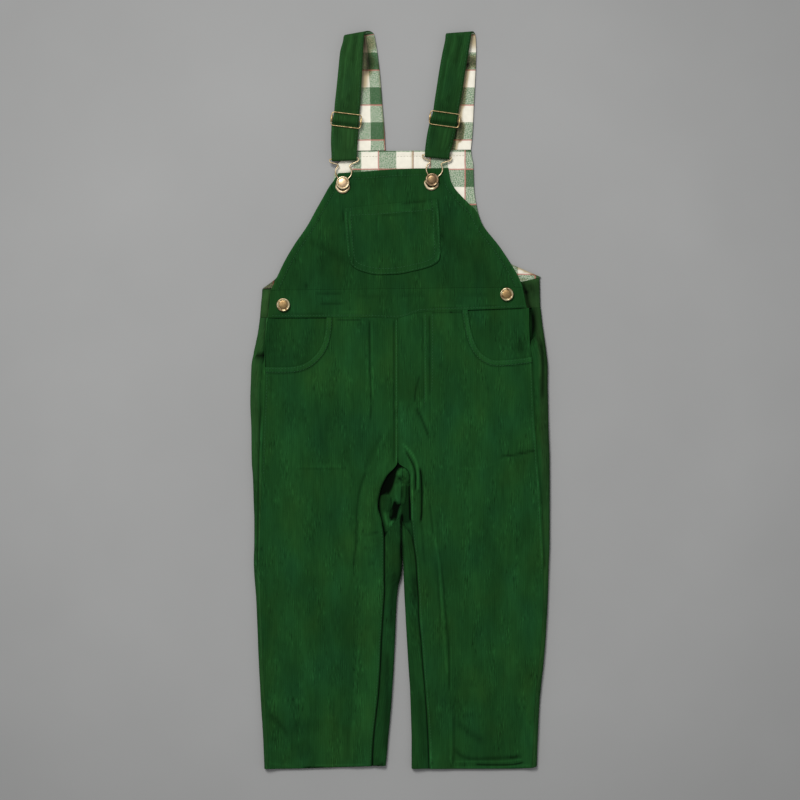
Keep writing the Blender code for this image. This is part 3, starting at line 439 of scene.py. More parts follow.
class Curve:
    """A smooth curve through (place, value) points that never overshoots them."""

    def __init__(self, points):
        points = sorted(points)
        self.places = np.array([place for place, value in points], dtype=float)
        self.values = np.array([value for place, value in points], dtype=float)
        slopes = np.diff(self.values) / np.diff(self.places)
        tangents = np.concatenate([slopes[:1], np.zeros(len(points) - 2), slopes[-1:]])
        for i in range(1, len(points) - 1):
            before, after = slopes[i - 1], slopes[i]
            if before * after > 0:
                tangents[i] = 2 * before * after / (before + after)
        self.tangents = tangents

    def __call__(self, place):
        place = np.clip(place, self.places[0], self.places[-1])
        i = np.clip(np.searchsorted(self.places, place) - 1, 0, len(self.places) - 2)
        span = self.places[i + 1] - self.places[i]
        t = (place - self.places[i]) / span
        start, end = self.values[i], self.values[i + 1]
        rise = start * (2 * t ** 3 - 3 * t ** 2 + 1) + end * (3 * t ** 2 - 2 * t ** 3)
        lean_in = self.tangents[i] * (t ** 3 - 2 * t ** 2 + t)
        lean_out = self.tangents[i + 1] * (t ** 3 - t ** 2)
        return rise + span * (lean_in + lean_out)


def steps_between(low, high, step):
    count = max(int(math.ceil((high - low) / step)), 1)
    return np.linspace(low, high, count + 1)


def grid_of(piece, column=COLUMN):
    """Where a piece's columns of points lie, each `column` wide, and where its rows lie."""
    stops = [steps_between(*zone)[:-1] for zone in ROWS[piece]]
    return np.arange(*COLUMNS[piece]) * column, np.concatenate(stops + [ROWS[piece][-1][1:2]])


# ---------------------------------------------------------------- creases, listed one by one

# A soft ridge (height above 0) or trough (below 0) along a path of (x, y). Its width is where it has
# fallen to about a third; its tone is painted light (above 0) and painted shade (below 0) along it.
Crease = namedtuple("Crease", "path width height tone")
# A pressed or stitched edge: the cloth to the left of the path's direction stands `height` higher
# beside it and comes down again over `reach`; its tone is painted light and shade there.
Ledge = namedtuple("Ledge", "path reach height tone")
# A pit or the top of a lump: flat across, with short steep sides. It covers what comes before it.
# Its tone is painted shade or light, as a crease's is.
Patch = namedtuple("Patch", "path width height tone")

# The front, all layers of it; the tones are painted light on ridges and painted shade in troughs
FRONT_CREASES = [
    # left press line and centre-front seam
    Crease([(-30.5, 81), (-30, 40), (-29, 0), (-29.5, -22)], 1.0, -0.5, -0.50),
    Crease([(-28, 80), (-27.5, 40), (-26.6, 0)], 0.9, 0.4, 0.40),
    Crease([(-33.2, 62), (-32.8, 30), (-32, 5)], 0.9, 0.2, 0.22),
    Crease([(-6.0, 81), (-6.0, 10), (-5.8, -64)], 1.1, -0.3, -0.40),
    Crease([(-3.2, 81), (-3.2, 10), (-3.0, -66)], 0.9, 0.5, 0.42),
    # mock fly
    Crease([(24.8, 88), (25.5, 40), (26, -4)], 1.0, 0.4, 0.36),
    Crease([(22.6, 84), (23.2, 40), (23.8, 0)], 0.9, -0.2, -0.26),
    Crease([(29.6, 86), (29.8, 40), (29.8, 4)], 0.9, -0.5, -0.46),
    Crease([(29.8, 2), (29.8, -10), (30.2, -24)], 1.1, -0.3, -0.30),
    Crease([(20, 26), (15.5, 8), (14.5, -4)], 1.1, -0.4, -0.44),
    Crease([(-1, -8.5), (7, -8), (14.5, -8.5)], 1.1, -0.4, -0.42),
    Crease([(15, -7), (21, -17), (26, -30), (30.5, -39)], 1.4, -0.6, -0.58),
    # beside the waistband's seam
    Crease([(-65, 80), (-50, 80), (-37, 80)], 0.9, -0.2, -0.42),
    Crease([(-133, 81), (-104, 81.3), (-78, 81.6)], 0.9, -0.3, -0.45),
    Crease([(29, 87.0), (46, 87.2), (64, 87.6)], 0.9, -0.2, -0.38),
    Crease([(66, 86.2), (90, 89), (126, 92)], 0.9, -0.3, -0.45),
    Crease([(0, 82.5), (7, 82), (14, 84)], 3.0, 0.2, 0.16),
    Crease([(19, -8), (25, -19), (30, -30)], 2.2, 0.4, 0.14),
    Crease([(10, -28), (17, -36), (22, -46)], 2.0, -0.3, -0.12),
    # double ridge from the fly down past the crotch
    Crease([(1, -43), (6.2, -47.5), (11.5, -53.4), (15.1, -59.5), (17.3, -67), (18.1, -76),
            (18.1, -92)], 1.0, 1.1, 0.85),
    Crease([(4.5, -50), (9.8, -58.8), (13.8, -66.5), (15.5, -75), (15.1, -92)], 1.1, -0.9, -0.88),
    Crease([(2.5, -48), (6, -54), (9.8, -62.5), (12.2, -73)], 0.9, 0.6, 0.44),
    Crease([(12.0, -70), (12.1, -88), (12.1, -104), (12.4, -122)], 1.1, 0.8, 0.70),
    Crease([(16.8, -92), (17, -108), (16.5, -126)], 2.2, 0.9, 0.12),
    Crease([(19.6, -66), (21.1, -77), (21.8, -90), (21.8, -106), (21.4, -115), (20.3, -124)], 1.35,
           -1.4, -1.05),
    Crease([(24.6, -84), (24.8, -95), (24.6, -110)], 0.9, 0.4, 0.34),
    Crease([(20.5, -120), (22.3, -132), (23.2, -145), (25, -166)], 1.5, -0.4, -0.28),
    Crease([(29.8, -102), (31.5, -118), (33.6, -136)], 1.2, -0.4, -0.34),
    Crease([(32, -104), (33.5, -118), (35.5, -134)], 1.0, 0.25, 0.20),
    # right press line
    Crease([(34.5, -136), (39.5, -163), (41.2, -189), (42.4, -208), (43.8, -229), (45.4, -250),
            (47.6, -276)], 1.2, 0.5, 0.58),
    Crease([(36.4, -160), (38.4, -189), (39.8, -208), (41, -229)], 1.1, -0.3, -0.30),
    Crease([(38.5, -148), (43.4, -185), (45.2, -208), (47.4, -229), (49, -250), (49, -292)], 1.2,
           -0.4, -0.34),
    Crease([(51.2, -244), (51.2, -268), (51, -292)], 0.9, 0.3, 0.28),
    Crease([(53.6, -313), (54, -330), (54, -345), (53.4, -366)], 1.5, -0.45, -0.36),
    Crease([(50.6, -310), (50.8, -332), (50.6, -366)], 0.9, 0.3, 0.34),
    # raised strip along the left inseam
    Crease([(-6, -58), (-14, -62), (-22, -73), (-27, -88), (-30.5, -106), (-31, -125), (-30, -160)],
           4.5, 0.9, 0.20),
    Crease([(-28, -140), (-28, -210), (-32, -270), (-37, -345)], 9.0, 0.25, 0.18),
    Crease([(-34, -70), (-40, -90), (-43, -110), (-43, -130), (-44, -145), (-47, -170)], 1.4, -0.4,
           -0.30),
    Crease([(-35, -82), (-39, -105), (-39.6, -130), (-40.6, -152), (-42, -190)], 2.6, 0.3, 0.16),
    Crease([(-8, -18), (-17, -42), (-24, -60)], 2.6, 0.45, 0.16),
    Crease([(-16, -30), (-27, -52), (-36, -72)], 3.0, -0.35, -0.14),
    Crease([(-36, -134), (-28, -133.5), (-18.5, -131)], 1.4, -0.5, -0.42),
    Crease([(-38, -147), (-33, -149), (-28, -146)], 1.4, -0.4, -0.36),
    Crease([(-31, -141), (-25, -144), (-20, -143)], 1.3, 0.35, 0.22),
    Crease([(-20.5, -98), (-23.5, -110), (-22.5, -124)], 1.4, 0.5, 0.30),
    Crease([(-34, -160), (-28, -164), (-24, -162)], 1.4, -0.3, -0.24),
    Crease([(-2, -50), (-2.5, -58), (-2, -64)], 2.6, 0.5, 0.30),
    Crease([(-40.5, -245), (-44.5, -280), (-46.5, -312), (-45.5, -345)], 1.0, 0.35, 0.26),
    # inseams
    Crease([(-18.5, -121), (-15.9, -134), (-15.8, -170), (-15.6, -193), (-17, -214), (-18.5, -238),
            (-19.5, -262), (-21.4, -292), (-23.4, -310), (-25.6, -328), (-27, -345), (-28.2, -378)],
           1.1, -0.6, -1.0),
    Crease([(10.8, -118), (11.6, -130), (13, -141), (15.5, -156), (16.8, -174), (18.4, -196),
            (18.8, -218), (20.6, -236), (22.6, -262), (25.7, -301), (28, -341), (29.5, -378)],
           1.1, -0.45, -0.80),
    Crease([(14.6, -141), (17.5, -158), (18.8, -176), (20.4, -198), (20.8, -218), (22.6, -236),
            (24.6, -262), (27.7, -301), (30, -341), (31.5, -374)], 0.9, 0.4, 0.34),
    # side seams
    Crease([(-131.5, 100), (-132.6, 78), (-133.8, 52), (-135.4, 20), (-137.4, -10), (-139, -50),
            (-139.6, -90), (-140.6, -170), (-138, -260)], 1.0, 0.5, 0.42),
    Crease([(-133.6, 92), (-135.0, 60), (-137.2, 20), (-139.2, -10), (-140.8, -50), (-141.4, -110),
            (-142.4, -170)], 1.3, -0.4, -0.60),
    Crease([(129.5, 50), (130.5, 30), (132.2, 0), (134, -30), (137, -70), (139.8, -110),
            (142, -170)], 1.0, 0.5, 0.32),
    Crease([(132, 46), (132.6, 30), (134.2, 0), (136, -30), (139, -70), (142, -110), (144.4, -170)],
           1.3, -0.3, -0.38),
    Crease([(141, 60), (142.5, 40), (142.5, 22), (142, 0)], 2.0, -0.6, -0.45),
    Crease([(133, -38), (134.5, -52), (136.5, -66)], 1.6, -0.4, -0.30),
    # pucker in the left fold, painted near black as shade, and the ridge beside the right pocket
    Crease([(-147, 47), (-142, 43.5), (-138, 45), (-134.5, 49)], 4.0, -1.6, -0.98),
    Crease([(128, 66), (131, 60), (135.5, 55), (138.5, 47), (140, 36), (139, 20)], 1.5, 0.9, 0.36),
    # pocket bags show through
    Crease([(98, -57), (118, -54), (137, -50)], 1.2, -0.4, -0.55),
    Crease([(57, -68.5), (80, -67.5), (98, -62)], 1.3, 0.25, 0.16),
    Crease([(-106, -65.5), (-80, -66), (-50, -65.5)], 1.2, 0.25, 0.16),
    Crease([(-104, -68), (-80, -68.5), (-52, -68)], 1.2, -0.2, -0.16),
    # soft folds across the thighs
    Crease([(-128, -30), (-110, -80), (-104, -140), (-108, -200)], 14.0, 0.5, 0.07),
    Crease([(-86, -20), (-78, -90), (-80, -160)], 12.0, -0.4, -0.07),
    Crease([(-62, -60), (-54, -120), (-56, -200)], 9.0, 0.35, 0.06),
    Crease([(62, -30), (66, -100), (62, -170)], 11.0, 0.4, 0.07),
    Crease([(92, -60), (98, -130), (92, -210)], 13.0, -0.4, -0.07),
    Crease([(118, -80), (122, -150), (116, -230)], 9.0, 0.35, 0.05),
    Crease([(-134, -236), (-122, -244), (-104, -248)], 4.0, -0.45, -0.12),
    Crease([(-136, -262), (-126, -268), (-116, -280)], 5.0, 0.4, 0.12),
    Crease([(-131, -290), (-125, -298), (-118, -303)], 5.0, 0.5, 0.16),
    # right hem
    Crease([(54, -318), (64, -329), (76, -337), (88, -344)], 3.4, -0.6, -0.30),
    Crease([(54, -345), (59, -354), (71, -358.5), (96, -358), (124, -356)], 2.2, -0.5, -0.40),
    Crease([(106, -357), (112, -357.5), (122, -355)], 1.8, -0.3, -0.24),
    Crease([(53, -361.2), (80, -361), (104, -361), (124, -358.8)], 0.9, 0.3, 0.34),
    Crease([(74, -363.8), (90, -364.4), (112, -364.2), (125, -361.4)], 0.8, -0.35, -0.85),
    Crease([(52, -366.8), (95, -367), (132, -364.6)], 1.0, 0.3, 0.36),
    Crease([(134, -318), (135, -332), (134, -348)], 3.6, 0.3, 0.20),
    Crease([(30.8, -338), (31.2, -350), (31.4, -364)], 0.9, 0.3, 0.28),
    Crease([(40, -300), (42, -318), (40, -334)], 5.0, 0.3, 0.10),
    # left hem
    Crease([(-134.5, -300), (-127, -304), (-119, -311)], 4.6, 0.6, 0.22),
    Crease([(-135, -312), (-121.5, -322.5), (-109.5, -338.5)], 2.4, -0.6, -0.32),
    Crease([(-122, -322), (-98, -326), (-66, -324)], 8.0, -0.4, -0.20),
    Crease([(-101, -338), (-98, -350), (-96, -362)], 11.0, -0.4, -0.22),
    Crease([(-137, -342), (-126, -347), (-116, -353)], 3.6, 0.6, 0.20),
    Crease([(-134, -362), (-118, -365), (-102, -366.4)], 1.6, 0.2, 0.16),
    Crease([(-98, -366.9), (-86, -366.9), (-74, -366.5)], 0.8, -0.3, -0.75),
    Crease([(-86, -364.9), (-60, -364.6), (-34, -364)], 0.8, 0.2, 0.34),
    Crease([(-28, -365), (-22, -364.6), (-14, -363.4)], 0.8, -0.2, -0.60),
    Crease([(-29, -357.5), (-24, -359.5), (-15, -358)], 0.9, -0.3, -0.34),
    Crease([(-41, -286), (-40.5, -300), (-41.5, -314)], 4.2, 0.4, 0.18),
    Crease([(-58, -318), (-58.5, -340), (-58, -362)], 1.0, 0.2, 0.18),
    Crease([(-51.5, -326), (-52, -344), (-51, -362)], 1.1, -0.2, -0.20),
    Crease([(-47.5, -320), (-48, -340), (-47, -362)], 1.0, 0.2, 0.20),
    Crease([(-66, -300), (-66, -324), (-66, -346)], 1.2, -0.2, -0.16),
    Crease([(-108, -326), (-108, -338), (-108, -352)], 1.2, -0.2, -0.18),
    # steps down from the left inseam's raised strip and from the right press line
    Ledge([(-46.5, -352), (-45, -300), (-42, -240), (-41, -180), (-41, -130), (-38.5, -100),
           (-35, -80), (-27, -56)], 16.0, -0.9, -0.12),
    Ledge([(31.5, -104), (38.5, -155), (41.5, -190), (45.5, -250), (49.5, -290), (50.5, -360)],
          14.0, -0.6, -0.08),
]


def bend(a, b, c, d, step):
    """Points about a step apart from b up to c, without c, on the smooth curve through all four."""
    count = max(int(np.linalg.norm(c - b) / step), 1)
    t = (np.arange(count) / count)[:, None]
    return 0.5 * (2 * b + (c - a) * t + (2 * a - 5 * b + 4 * c - d) * t ** 2
                  + (3 * b - a - 3 * c + d) * t ** 3)


def smooth_path(path, step=2.0):
    """Points every few millimetres along a smooth line through a path's points."""
    points = np.array(path, dtype=float)
    if len(points) == 2:
        count = max(int(np.linalg.norm(points[1] - points[0]) / step), 1)
        return np.linspace(points[0], points[1], count + 1)
    padded = np.vstack([2 * points[0] - points[1], points, 2 * points[-1] - points[-2]])
    pieces = [bend(*padded[i - 1:i + 3], step) for i in range(1, len(padded) - 2)]
    return np.vstack(pieces + [points[-1:]])


def smooth_closed(path, step):
    """The same along a closed line."""
    points = np.array(path, dtype=float)
    neighbours = [np.roll(points, shift, axis=0) for shift in (1, 0, -1, -2)]
    return np.vstack([bend(*four, step) for four in zip(*neighbours)])


def along_path(line, x, y):
    """Distance of points from a line, on which side they lie, and how far along it (0 to 1)."""
    start, end = line[:-1], line[1:]
    run = end - start
    length = np.maximum((run ** 2).sum(1), 1e-9)
    best = np.full(x.shape, FAR)
    side = np.zeros(x.shape)
    share = np.zeros(x.shape)
    count = len(run)
    for i in range(count):
        dx = x - start[i, 0]
        dy = y - start[i, 1]
        t = np.clip((dx * run[i, 0] + dy * run[i, 1]) / length[i], 0, 1)
        distance = np.hypot(dx - t * run[i, 0], dy - t * run[i, 1])
        nearer = distance < best
        best = np.where(nearer, distance, best)
        turn = run[i, 0] * dy - run[i, 1] * dx
        side = np.where(nearer, np.sign(turn), side)
        share = np.where(nearer, (i + t) / count, share)
    return best, side, share


FADE = 2.5              # at each end a crease or ledge dies away over this length
FADE_WIDTHS = 2.2       # and so many times its width,
LONGEST_FADE = 0.4      # but over this share of its whole length at most
CREASE_FELT = 2.6       # how many widths away from its path a crease or patch is felt,
LEDGE_FELT = 3.5        # and a ledge
PATCH_RIM = (1.25, 0.8)         # a patch's sides, from outside in, as shares of its width
LEDGE_STEP = 0.7        # half the width of a ledge's own step


def relief(marks, x, y):
    """Height and tone (mostly painted light and shade) that creases, ledges and patches give to a
    surface.
    """
    x = np.asarray(x, dtype=float)
    y = np.asarray(y, dtype=float)
    shape = x.shape
    x, y = x.ravel(), y.ravel()
    height = np.zeros(x.size)
    tone = np.zeros(x.size)
    for mark in marks:
        is_ledge = isinstance(mark, Ledge)
        wide = mark.reach if is_ledge else mark.width
        reach = wide * (LEDGE_FELT if is_ledge else CREASE_FELT)
        line = smooth_path(mark.path)
        low = line.min(0) - reach
        high = line.max(0) + reach
        near = np.flatnonzero((x > low[0]) & (x < high[0]) & (y > low[1]) & (y < high[1]))
        if not near.size:
            continue
        distance, side, share = along_path(line, x[near], y[near])
        if isinstance(mark, Patch):
            cover = smoothstep(*PATCH_RIM, distance / wide)
            height[near] = mix(height[near], mark.height, cover)
            tone[near] = mix(tone[near], mark.tone, cover)
            continue
        length = np.linalg.norm(np.diff(line, axis=0), axis=1).sum()
        fade = min(LONGEST_FADE, (FADE + FADE_WIDTHS * wide) / length)
        ends = smoothstep(0, fade, share) * smoothstep(0, fade, 1 - share)
        if is_ledge:
            signed = distance * side
            profile = smoothstep(-LEDGE_STEP, LEDGE_STEP, signed) * np.exp(-np.maximum(signed, 0) / wide)
        else:
            profile = np.exp(-(distance / wide) ** 2)
        height[near] += mark.height * profile * ends
        tone[near] += mark.tone * profile * ends
    return height.reshape(shape), tone.reshape(shape)


# Soft unevenness of the front: a seed, the length of its waves and their height
UNDULATIONS = [(11, 55.0, 0.16), (12, 20.0, 0.06)]
WAVES = 10              # in each
WAVE_SPREAD = (0.6, 1.7)        # their lengths, as shares of the stated one


def undulation(x, y, seed, size, amount):
    """Soft unevenness without direction: a sum of waves about `size` long."""
    random = np.random.default_rng(seed)
    total = np.zeros(np.shape(x))
    for _ in range(WAVES):
        angle = random.uniform(0, 2 * math.pi)
        wave = 2 * math.pi / (size * random.uniform(*WAVE_SPREAD))
        phase = random.uniform(0, 2 * math.pi)
        total += np.sin((x * math.cos(angle) + y * math.sin(angle)) * wave + phase)
    return amount * total / math.sqrt(WAVES)


def front_relief(x, y, own=()):
    """Height and tone (painted light and shade) of the front: the creases of all its layers, and a
    piece's own.
    """
    height, tone = relief(FRONT_CREASES + list(own), x, y)
    for seed, size, amount in UNDULATIONS:
        height = height + undulation(x, y, seed, size, amount)
    return height, tone


# ---------------------------------------------------------------- heights of the cloth

def fold_top(y):
    return mix(LEG_FOLD, WAIST_FOLD, smoothstep(*FOLD_ZONE, y))


def fold_radius(y):
    return (fold_top(y) - FLOOR) / 2


def edge_rise(distance):
    return np.exp(-(np.maximum(distance, 0.0) / EDGE_REACH) ** 2)


def fold_distance(x, y):
    """How far in from the top of the nearer fold of the waist a point lies."""
    share = (BAND_TOP - y) / BAND_WIDTH
    inset = CLOTH / 2 + (WAIST_FOLD - FLOOR) / 2
    left = x - (mix(*BACK_FOLD_LEFT, share) + inset)
    right = (mix(*BACK_FOLD_RIGHT, share) - inset) - x
    return np.minimum(left, right)


def tab_height(x, y):
    return mix(WAIST_FOLD, TAB_HEIGHT, smoothstep(0.0, TAB_SLOPE, fold_distance(x, y)))


def waist_height(x, y):
    return np.maximum(FRONT, tab_height(x, y) + BAND_LIFT)


def bib_height(x, y):
    return mix(waist_height(x, y), FRONT, smoothstep(*BIB_LIFT_ZONE, y))


LEG_GRAIN = 300 * WALE  # the two legs are cut from cloth this far apart, so they wear differently


class Leg:
    """The outline and the heights of one leg, as smooth functions of the height y on it."""

    def __init__(self, name, side, table, scoop, facing, hem):
        self.name = name
        self.side = side
        self.grain = LEG_GRAIN * (side < 0)
        self.scoop = scoop
        self.facing = facing
        self.hem_line = Curve(hem)
        for field in LegRow._fields[1:]:
            setattr(self, field, Curve([(row.y, getattr(row, field)) for row in table]))
        starts = []
        ends = []
        for row in table:
            radius = float(fold_radius(row.y))
            if row.round == 0:
                start = side * float(broken(BACK_SEAM)(row.y)) + HALF_GAP
            else:
                start = row.inner + CLOTH / 2 + radius
            strip = row.inseam - SEAM - start
            starts.append((row.y, start))
            ends.append((row.y, row.round * (math.pi * radius + strip)))
        self.start = Curve(starts)
        self.end = Curve(ends)

    def centre(self, y):
        return self.fold(y) - CLOTH / 2 - fold_radius(y)

    def bunch(self, y):
        """How much higher than the outer fold the inner one stands, just below the crotch."""
        return BUNCH * np.exp(-((y - BUNCH_Y) / BUNCH_REACH) ** 2) * self.round(y)

    def height(self, out, y):
        """Middle of the front layer."""
        middle = mix(FRONT_LEG, FRONT, smoothstep(*POCKET_ZONE, y))
        share = (self.seam(y) - out) / (self.seam(y) - self.inseam(y))
        crease = smoothstep(CREASE_SHARE - CREASE_WIDTH, CREASE_SHARE + CREASE_WIDTH, share)
        middle = middle + CREASE_LIFT * crease * (1 - smoothstep(*CREASE_ZONE, y))
        inner_fold = mix(self.inseam(y), self.inner(y) + CLOTH / 2 + fold_radius(y), self.round(y))
        inner = edge_rise(out - inner_fold) * np.maximum(self.lip(y), self.round(y))
        rise = np.maximum(edge_rise(self.centre(y) - out), inner)
        return mix(middle, fold_top(y), rise) + self.bunch(y) * inner

    def waist(self, out):
        return broken(WAIST_SEAM)(self.side * out) - HALF_GAP

    def hem(self, out):
        return self.hem_line(out)


# ---------------------------------------------------------------- cloth meshes

def fill(xs, ys, left, right, low, high):
    """Points of a grid along the grain, pulled in to a panel's outline, and the distance from its
    left, right, low and high edges. left and right give the outline's x at a height y, low and
    high its y at a place x.
    """
    extra = len(EDGE_STEPS)
    wide, tall = [np.concatenate([np.full(extra, -FAR), line, np.full(extra, FAR)]) for line in (xs, ys)]
    starts = [np.concatenate([EDGE_STEPS, np.full(len(line) + extra, EDGE_INSET)]) for line in (xs, ys)]
    X, Y = np.meshgrid(wide, tall)
    x_low, y_low = np.meshgrid(*starts)
    x_high, y_high = x_low[:, ::-1], y_low[::-1]
    x = np.clip(X, xs[0], xs[-1])
    y = np.clip(Y, ys[0], ys[-1])
    for _ in range(PULLS):
        y = np.clip(Y, low(x) + y_low, high(x) - y_high)
        x = np.clip(X, left(y) + x_low, right(y) - x_high)
    edges = [x - left(y), right(y) - x, y - low(x), high(x) - y]
    return x, y, [np.maximum(edge, 0.0) for edge in edges]


Rim = namedtuple("Rim", "distance full")
SEWN = 5.0              # a sewn edge is rounded this many times less than a free one
SEWN_FULL = 0.94        # and keeps this share of the cloth's thickness right up to the seam


def nearest_edge(edges, sewn):
    """Distance from the nearest edge; sewn says of each edge, everywhere or by point, if it is sewn."""
    sewn = [np.broadcast_to(is_sewn, edges[0].shape) for is_sewn in sewn]
    scaled = np.stack([edge * np.where(is_sewn, SEWN, 1.0) for edge, is_sewn in zip(edges, sewn)])
    nearest = scaled.argmin(0)
    full = np.take_along_axis(np.stack(sewn), nearest[None], 0)[0] * SEWN_FULL
    return Rim(scaled.min(0), full)


HEM_SLOPE = 1.2         # how wide a turned border's step down is,
HEM_GROOVE = 0.25       # how deep its row of stitches draws it in,
GROOVE_SHADE = -0.16     # and the painted shade in this groove


def hem(distance, width, height, tone, groove_tone=GROOVE_SHADE):
    """Height of a turned, stitched border by a free edge, with painted light on it and shade in its
    groove.
    """
    band = smoothstep(width, width - HEM_SLOPE, distance)
    groove = np.exp(-(distance - width) ** 2)
    return height * band - HEM_GROOVE * groove, tone * band + groove_tone * groove


def value_noise(x, y, seed, size=256):
    """Smooth noise from 0 to 1 whose grains are about one unit wide; it repeats after `size`."""
    table = np.random.default_rng(seed).random((size, size))
    column = np.floor(x).astype(int)
    row = np.floor(y).astype(int)
    across = smoothstep(0, 1, x - column)
    up = smoothstep(0, 1, y - row)
    ends = [mix(table[column % size, line % size], table[(column + 1) % size, line % size], across)
            for line in (row, row + 1)]
    return mix(*ends, up)


CORD_SHAPE = 0.7        # a power below 1: the cords are fuller than the grooves between them
SINGLE_CORDS = 0.6      # the share of the wear that takes single cords; the rest comes in patches
WORN_RANGE = (0.25, 0.85)       # from fully worn to full nap, in the noise
CORD_RANGE = (0.1, 0.9)         # and in the cords' height
CORD_SEED = 21
PATCH_SEED = 22


def rib(u, v, edge):
    """Height of the cords above the cloth's middle thickness; the nap is worn down in places."""
    cord = np.abs(np.sin(math.pi * u / WALE)) ** CORD_SHAPE
    single = value_noise(u / WALE + 0.5, v / CORD_RUN, CORD_SEED)
    patches = value_noise(u / WEAR, v / WEAR, PATCH_SEED)
    nap = smoothstep(*WORN_RANGE, SINGLE_CORDS * single + (1 - SINGLE_CORDS) * patches)
    return RIB * (cord - 0.5) * mix(*CORD_RANGE, nap) * smoothstep(*RIB_FADE, edge)


def polygons_of(index):
    """The quads and triangles of a grid of vertex numbers, without flat ones."""
    quads = np.stack([index[:-1, :-1], index[:-1, 1:], index[1:, 1:], index[1:, :-1]], -1)
    quads = quads.reshape(-1, 4)
    same = quads == np.roll(quads, -1, axis=1)
    whole = ~same.any(1) & (quads[:, 0] != quads[:, 2]) & (quads[:, 1] != quads[:, 3])
    faces = [quads[whole]]
    for corner in range(4):
        once = (same.sum(1) == 1) & same[:, corner]
        keep = [i for i in range(4) if i != corner]
        triangles = quads[once][:, keep]
        proper = triangles[:, 0] != triangles[:, 2]
        faces.append(triangles[proper])
    return faces


def vertex_normals(points, faces):
    normals = np.zeros_like(points)
    for group in faces:
        if not len(group):
            continue
        if group.shape[1] == 4:
            a = points[group[:, 2]] - points[group[:, 0]]
            b = points[group[:, 3]] - points[group[:, 1]]
        else:
            a = points[group[:, 1]] - points[group[:, 0]]
            b = points[group[:, 2]] - points[group[:, 0]]
        cross = np.cross(a, b)
        for corner in range(group.shape[1]):
            for axis in range(3):
                normals[:, axis] += np.bincount(group[:, corner], cross[:, axis], len(points))
    return normals / np.maximum(np.linalg.norm(normals, axis=1, keepdims=True), 1e-12)


LOOK = "_look"          # ends the name of every piece that replaces a node
CUTS = {}               # the width, the length and the area of each piece's flat cut
PROBE = 40.0            # how much of a piece's lower end tells which way its right side looks


def cloth(node, u, v, points, edge, tone, wall, facing, ribbed, materials, tinge=0.0):
    """A closed shell of cloth to both sides of a grid of points.

    u and v are each point's place on the flat cloth, across and along the grain, and edge is the
    rim: the distance from the cut edge, where the two sides meet in a round, and how full it stays.
    facing is 1 where the right side of the cloth looks up at its lower end, and -1 where it looks
    down. materials are those of the right and the wrong side. tone is how much lighter or darker a
    place is, mostly as painted light and shade, and tinge how far it goes over to the second colour:
    olive on the corduroy, plain cream on the check.
    """
    keys = np.stack([np.round(u, 3).ravel(), np.round(v, 3).ravel()], 1)
    unique, first, index = np.unique(keys, axis=0, return_index=True, return_inverse=True)
    faces = polygons_of(index.reshape(u.shape))
    middle = points.reshape(-1, 3)[first]
    full = np.broadcast_to(edge.full, u.shape).ravel()[first]
    edge = edge.distance.ravel()[first]
    tone = np.broadcast_to(tone, u.shape).ravel()[first]
    tinge = np.broadcast_to(tinge, u.shape).ravel()[first]
    normals = vertex_normals(middle, faces)
    probe = unique[:, 1] < unique[:, 1].min() + PROBE
    flip = normals[probe, 2].mean() * facing < 0
    if flip:
        normals = -normals

    half = wall / 2
    fullness = np.sqrt(1 - (1 - np.clip(edge / half, 0, 1)) ** 2)
    rim = edge < TOUCH
    lift = half * mix(full, 1.0, fullness)
    if ribbed:
        lift = np.where(rim, lift, lift + rib(unique[:, 0], unique[:, 1], edge))
    outer = middle + normals * lift[:, None]
    outer[:, 2] = np.maximum(outer[:, 2], 0.0)      # pressed flat where it lies on the surface
    inner = middle - normals * (half * fullness)[:, None]
    count = len(middle)
    inner_index = np.where(rim, np.arange(count), count + np.cumsum(~rim) - 1)
    vertices = np.concatenate([outer, inner[~rim]])
    place = np.concatenate([unique, unique[~rim]])

    area = 0.0
    polygons = []
    slots = []
    for group in faces:
        corners = unique[group]
        ahead = np.roll(corners, -1, axis=1)
        cross = corners[..., 0] * ahead[..., 1] - corners[..., 1] * ahead[..., 0]
        area += np.abs(cross.sum(1)).sum() / 2
        group = group[~rim[group].all(1)]
        front = group[:, ::-1] if flip else group
        back = inner_index[group if flip else group[:, ::-1]]
        polygons += front.tolist() + back.tolist()
        slots += [0] * len(front) + [1] * len(back)
    CUTS[node] = (*np.ptp(unique, axis=0), area)

    thing = add_mesh(node + LOOK, vertices, polygons, materials, slots)
    data = thing.data
    corners = np.empty(len(data.loops), dtype=np.int32)
    data.loops.foreach_get("vertex_index", corners)
    grain = data.uv_layers.new(name="Grain")
    grain.data.foreach_set("uv", (place[corners] * MM).astype(np.float32).ravel())
    for label, values in (("tone", tone), ("tinge", tinge)):
        attribute = data.attributes.new(label, "FLOAT", "POINT")
        both_sides = np.concatenate([values, values[~rim]])
        attribute.data.foreach_set("value", both_sides.astype(np.float32))
    return thing


def add_object(name, data):
    thing = bpy.data.objects.new(name, data)
    bpy.context.scene.collection.objects.link(thing)
    return thing


def add_mesh(name, points, polygons, materials, slots=None):
    """An object from points in millimetres; slots say which of its materials each polygon has."""
    data = bpy.data.meshes.new(name)
    data.from_pydata((np.asarray(points) * MM).tolist(), [], polygons)
    for material in materials:
        data.materials.append(material)
    if slots:
        data.polygons.foreach_set("material_index", slots)
    data.shade_smooth()
    return add_object(name, data)


def stack(x, y, z):
    return np.stack([x, y, z], -1)


# ---------------------------------------------------------------- materials

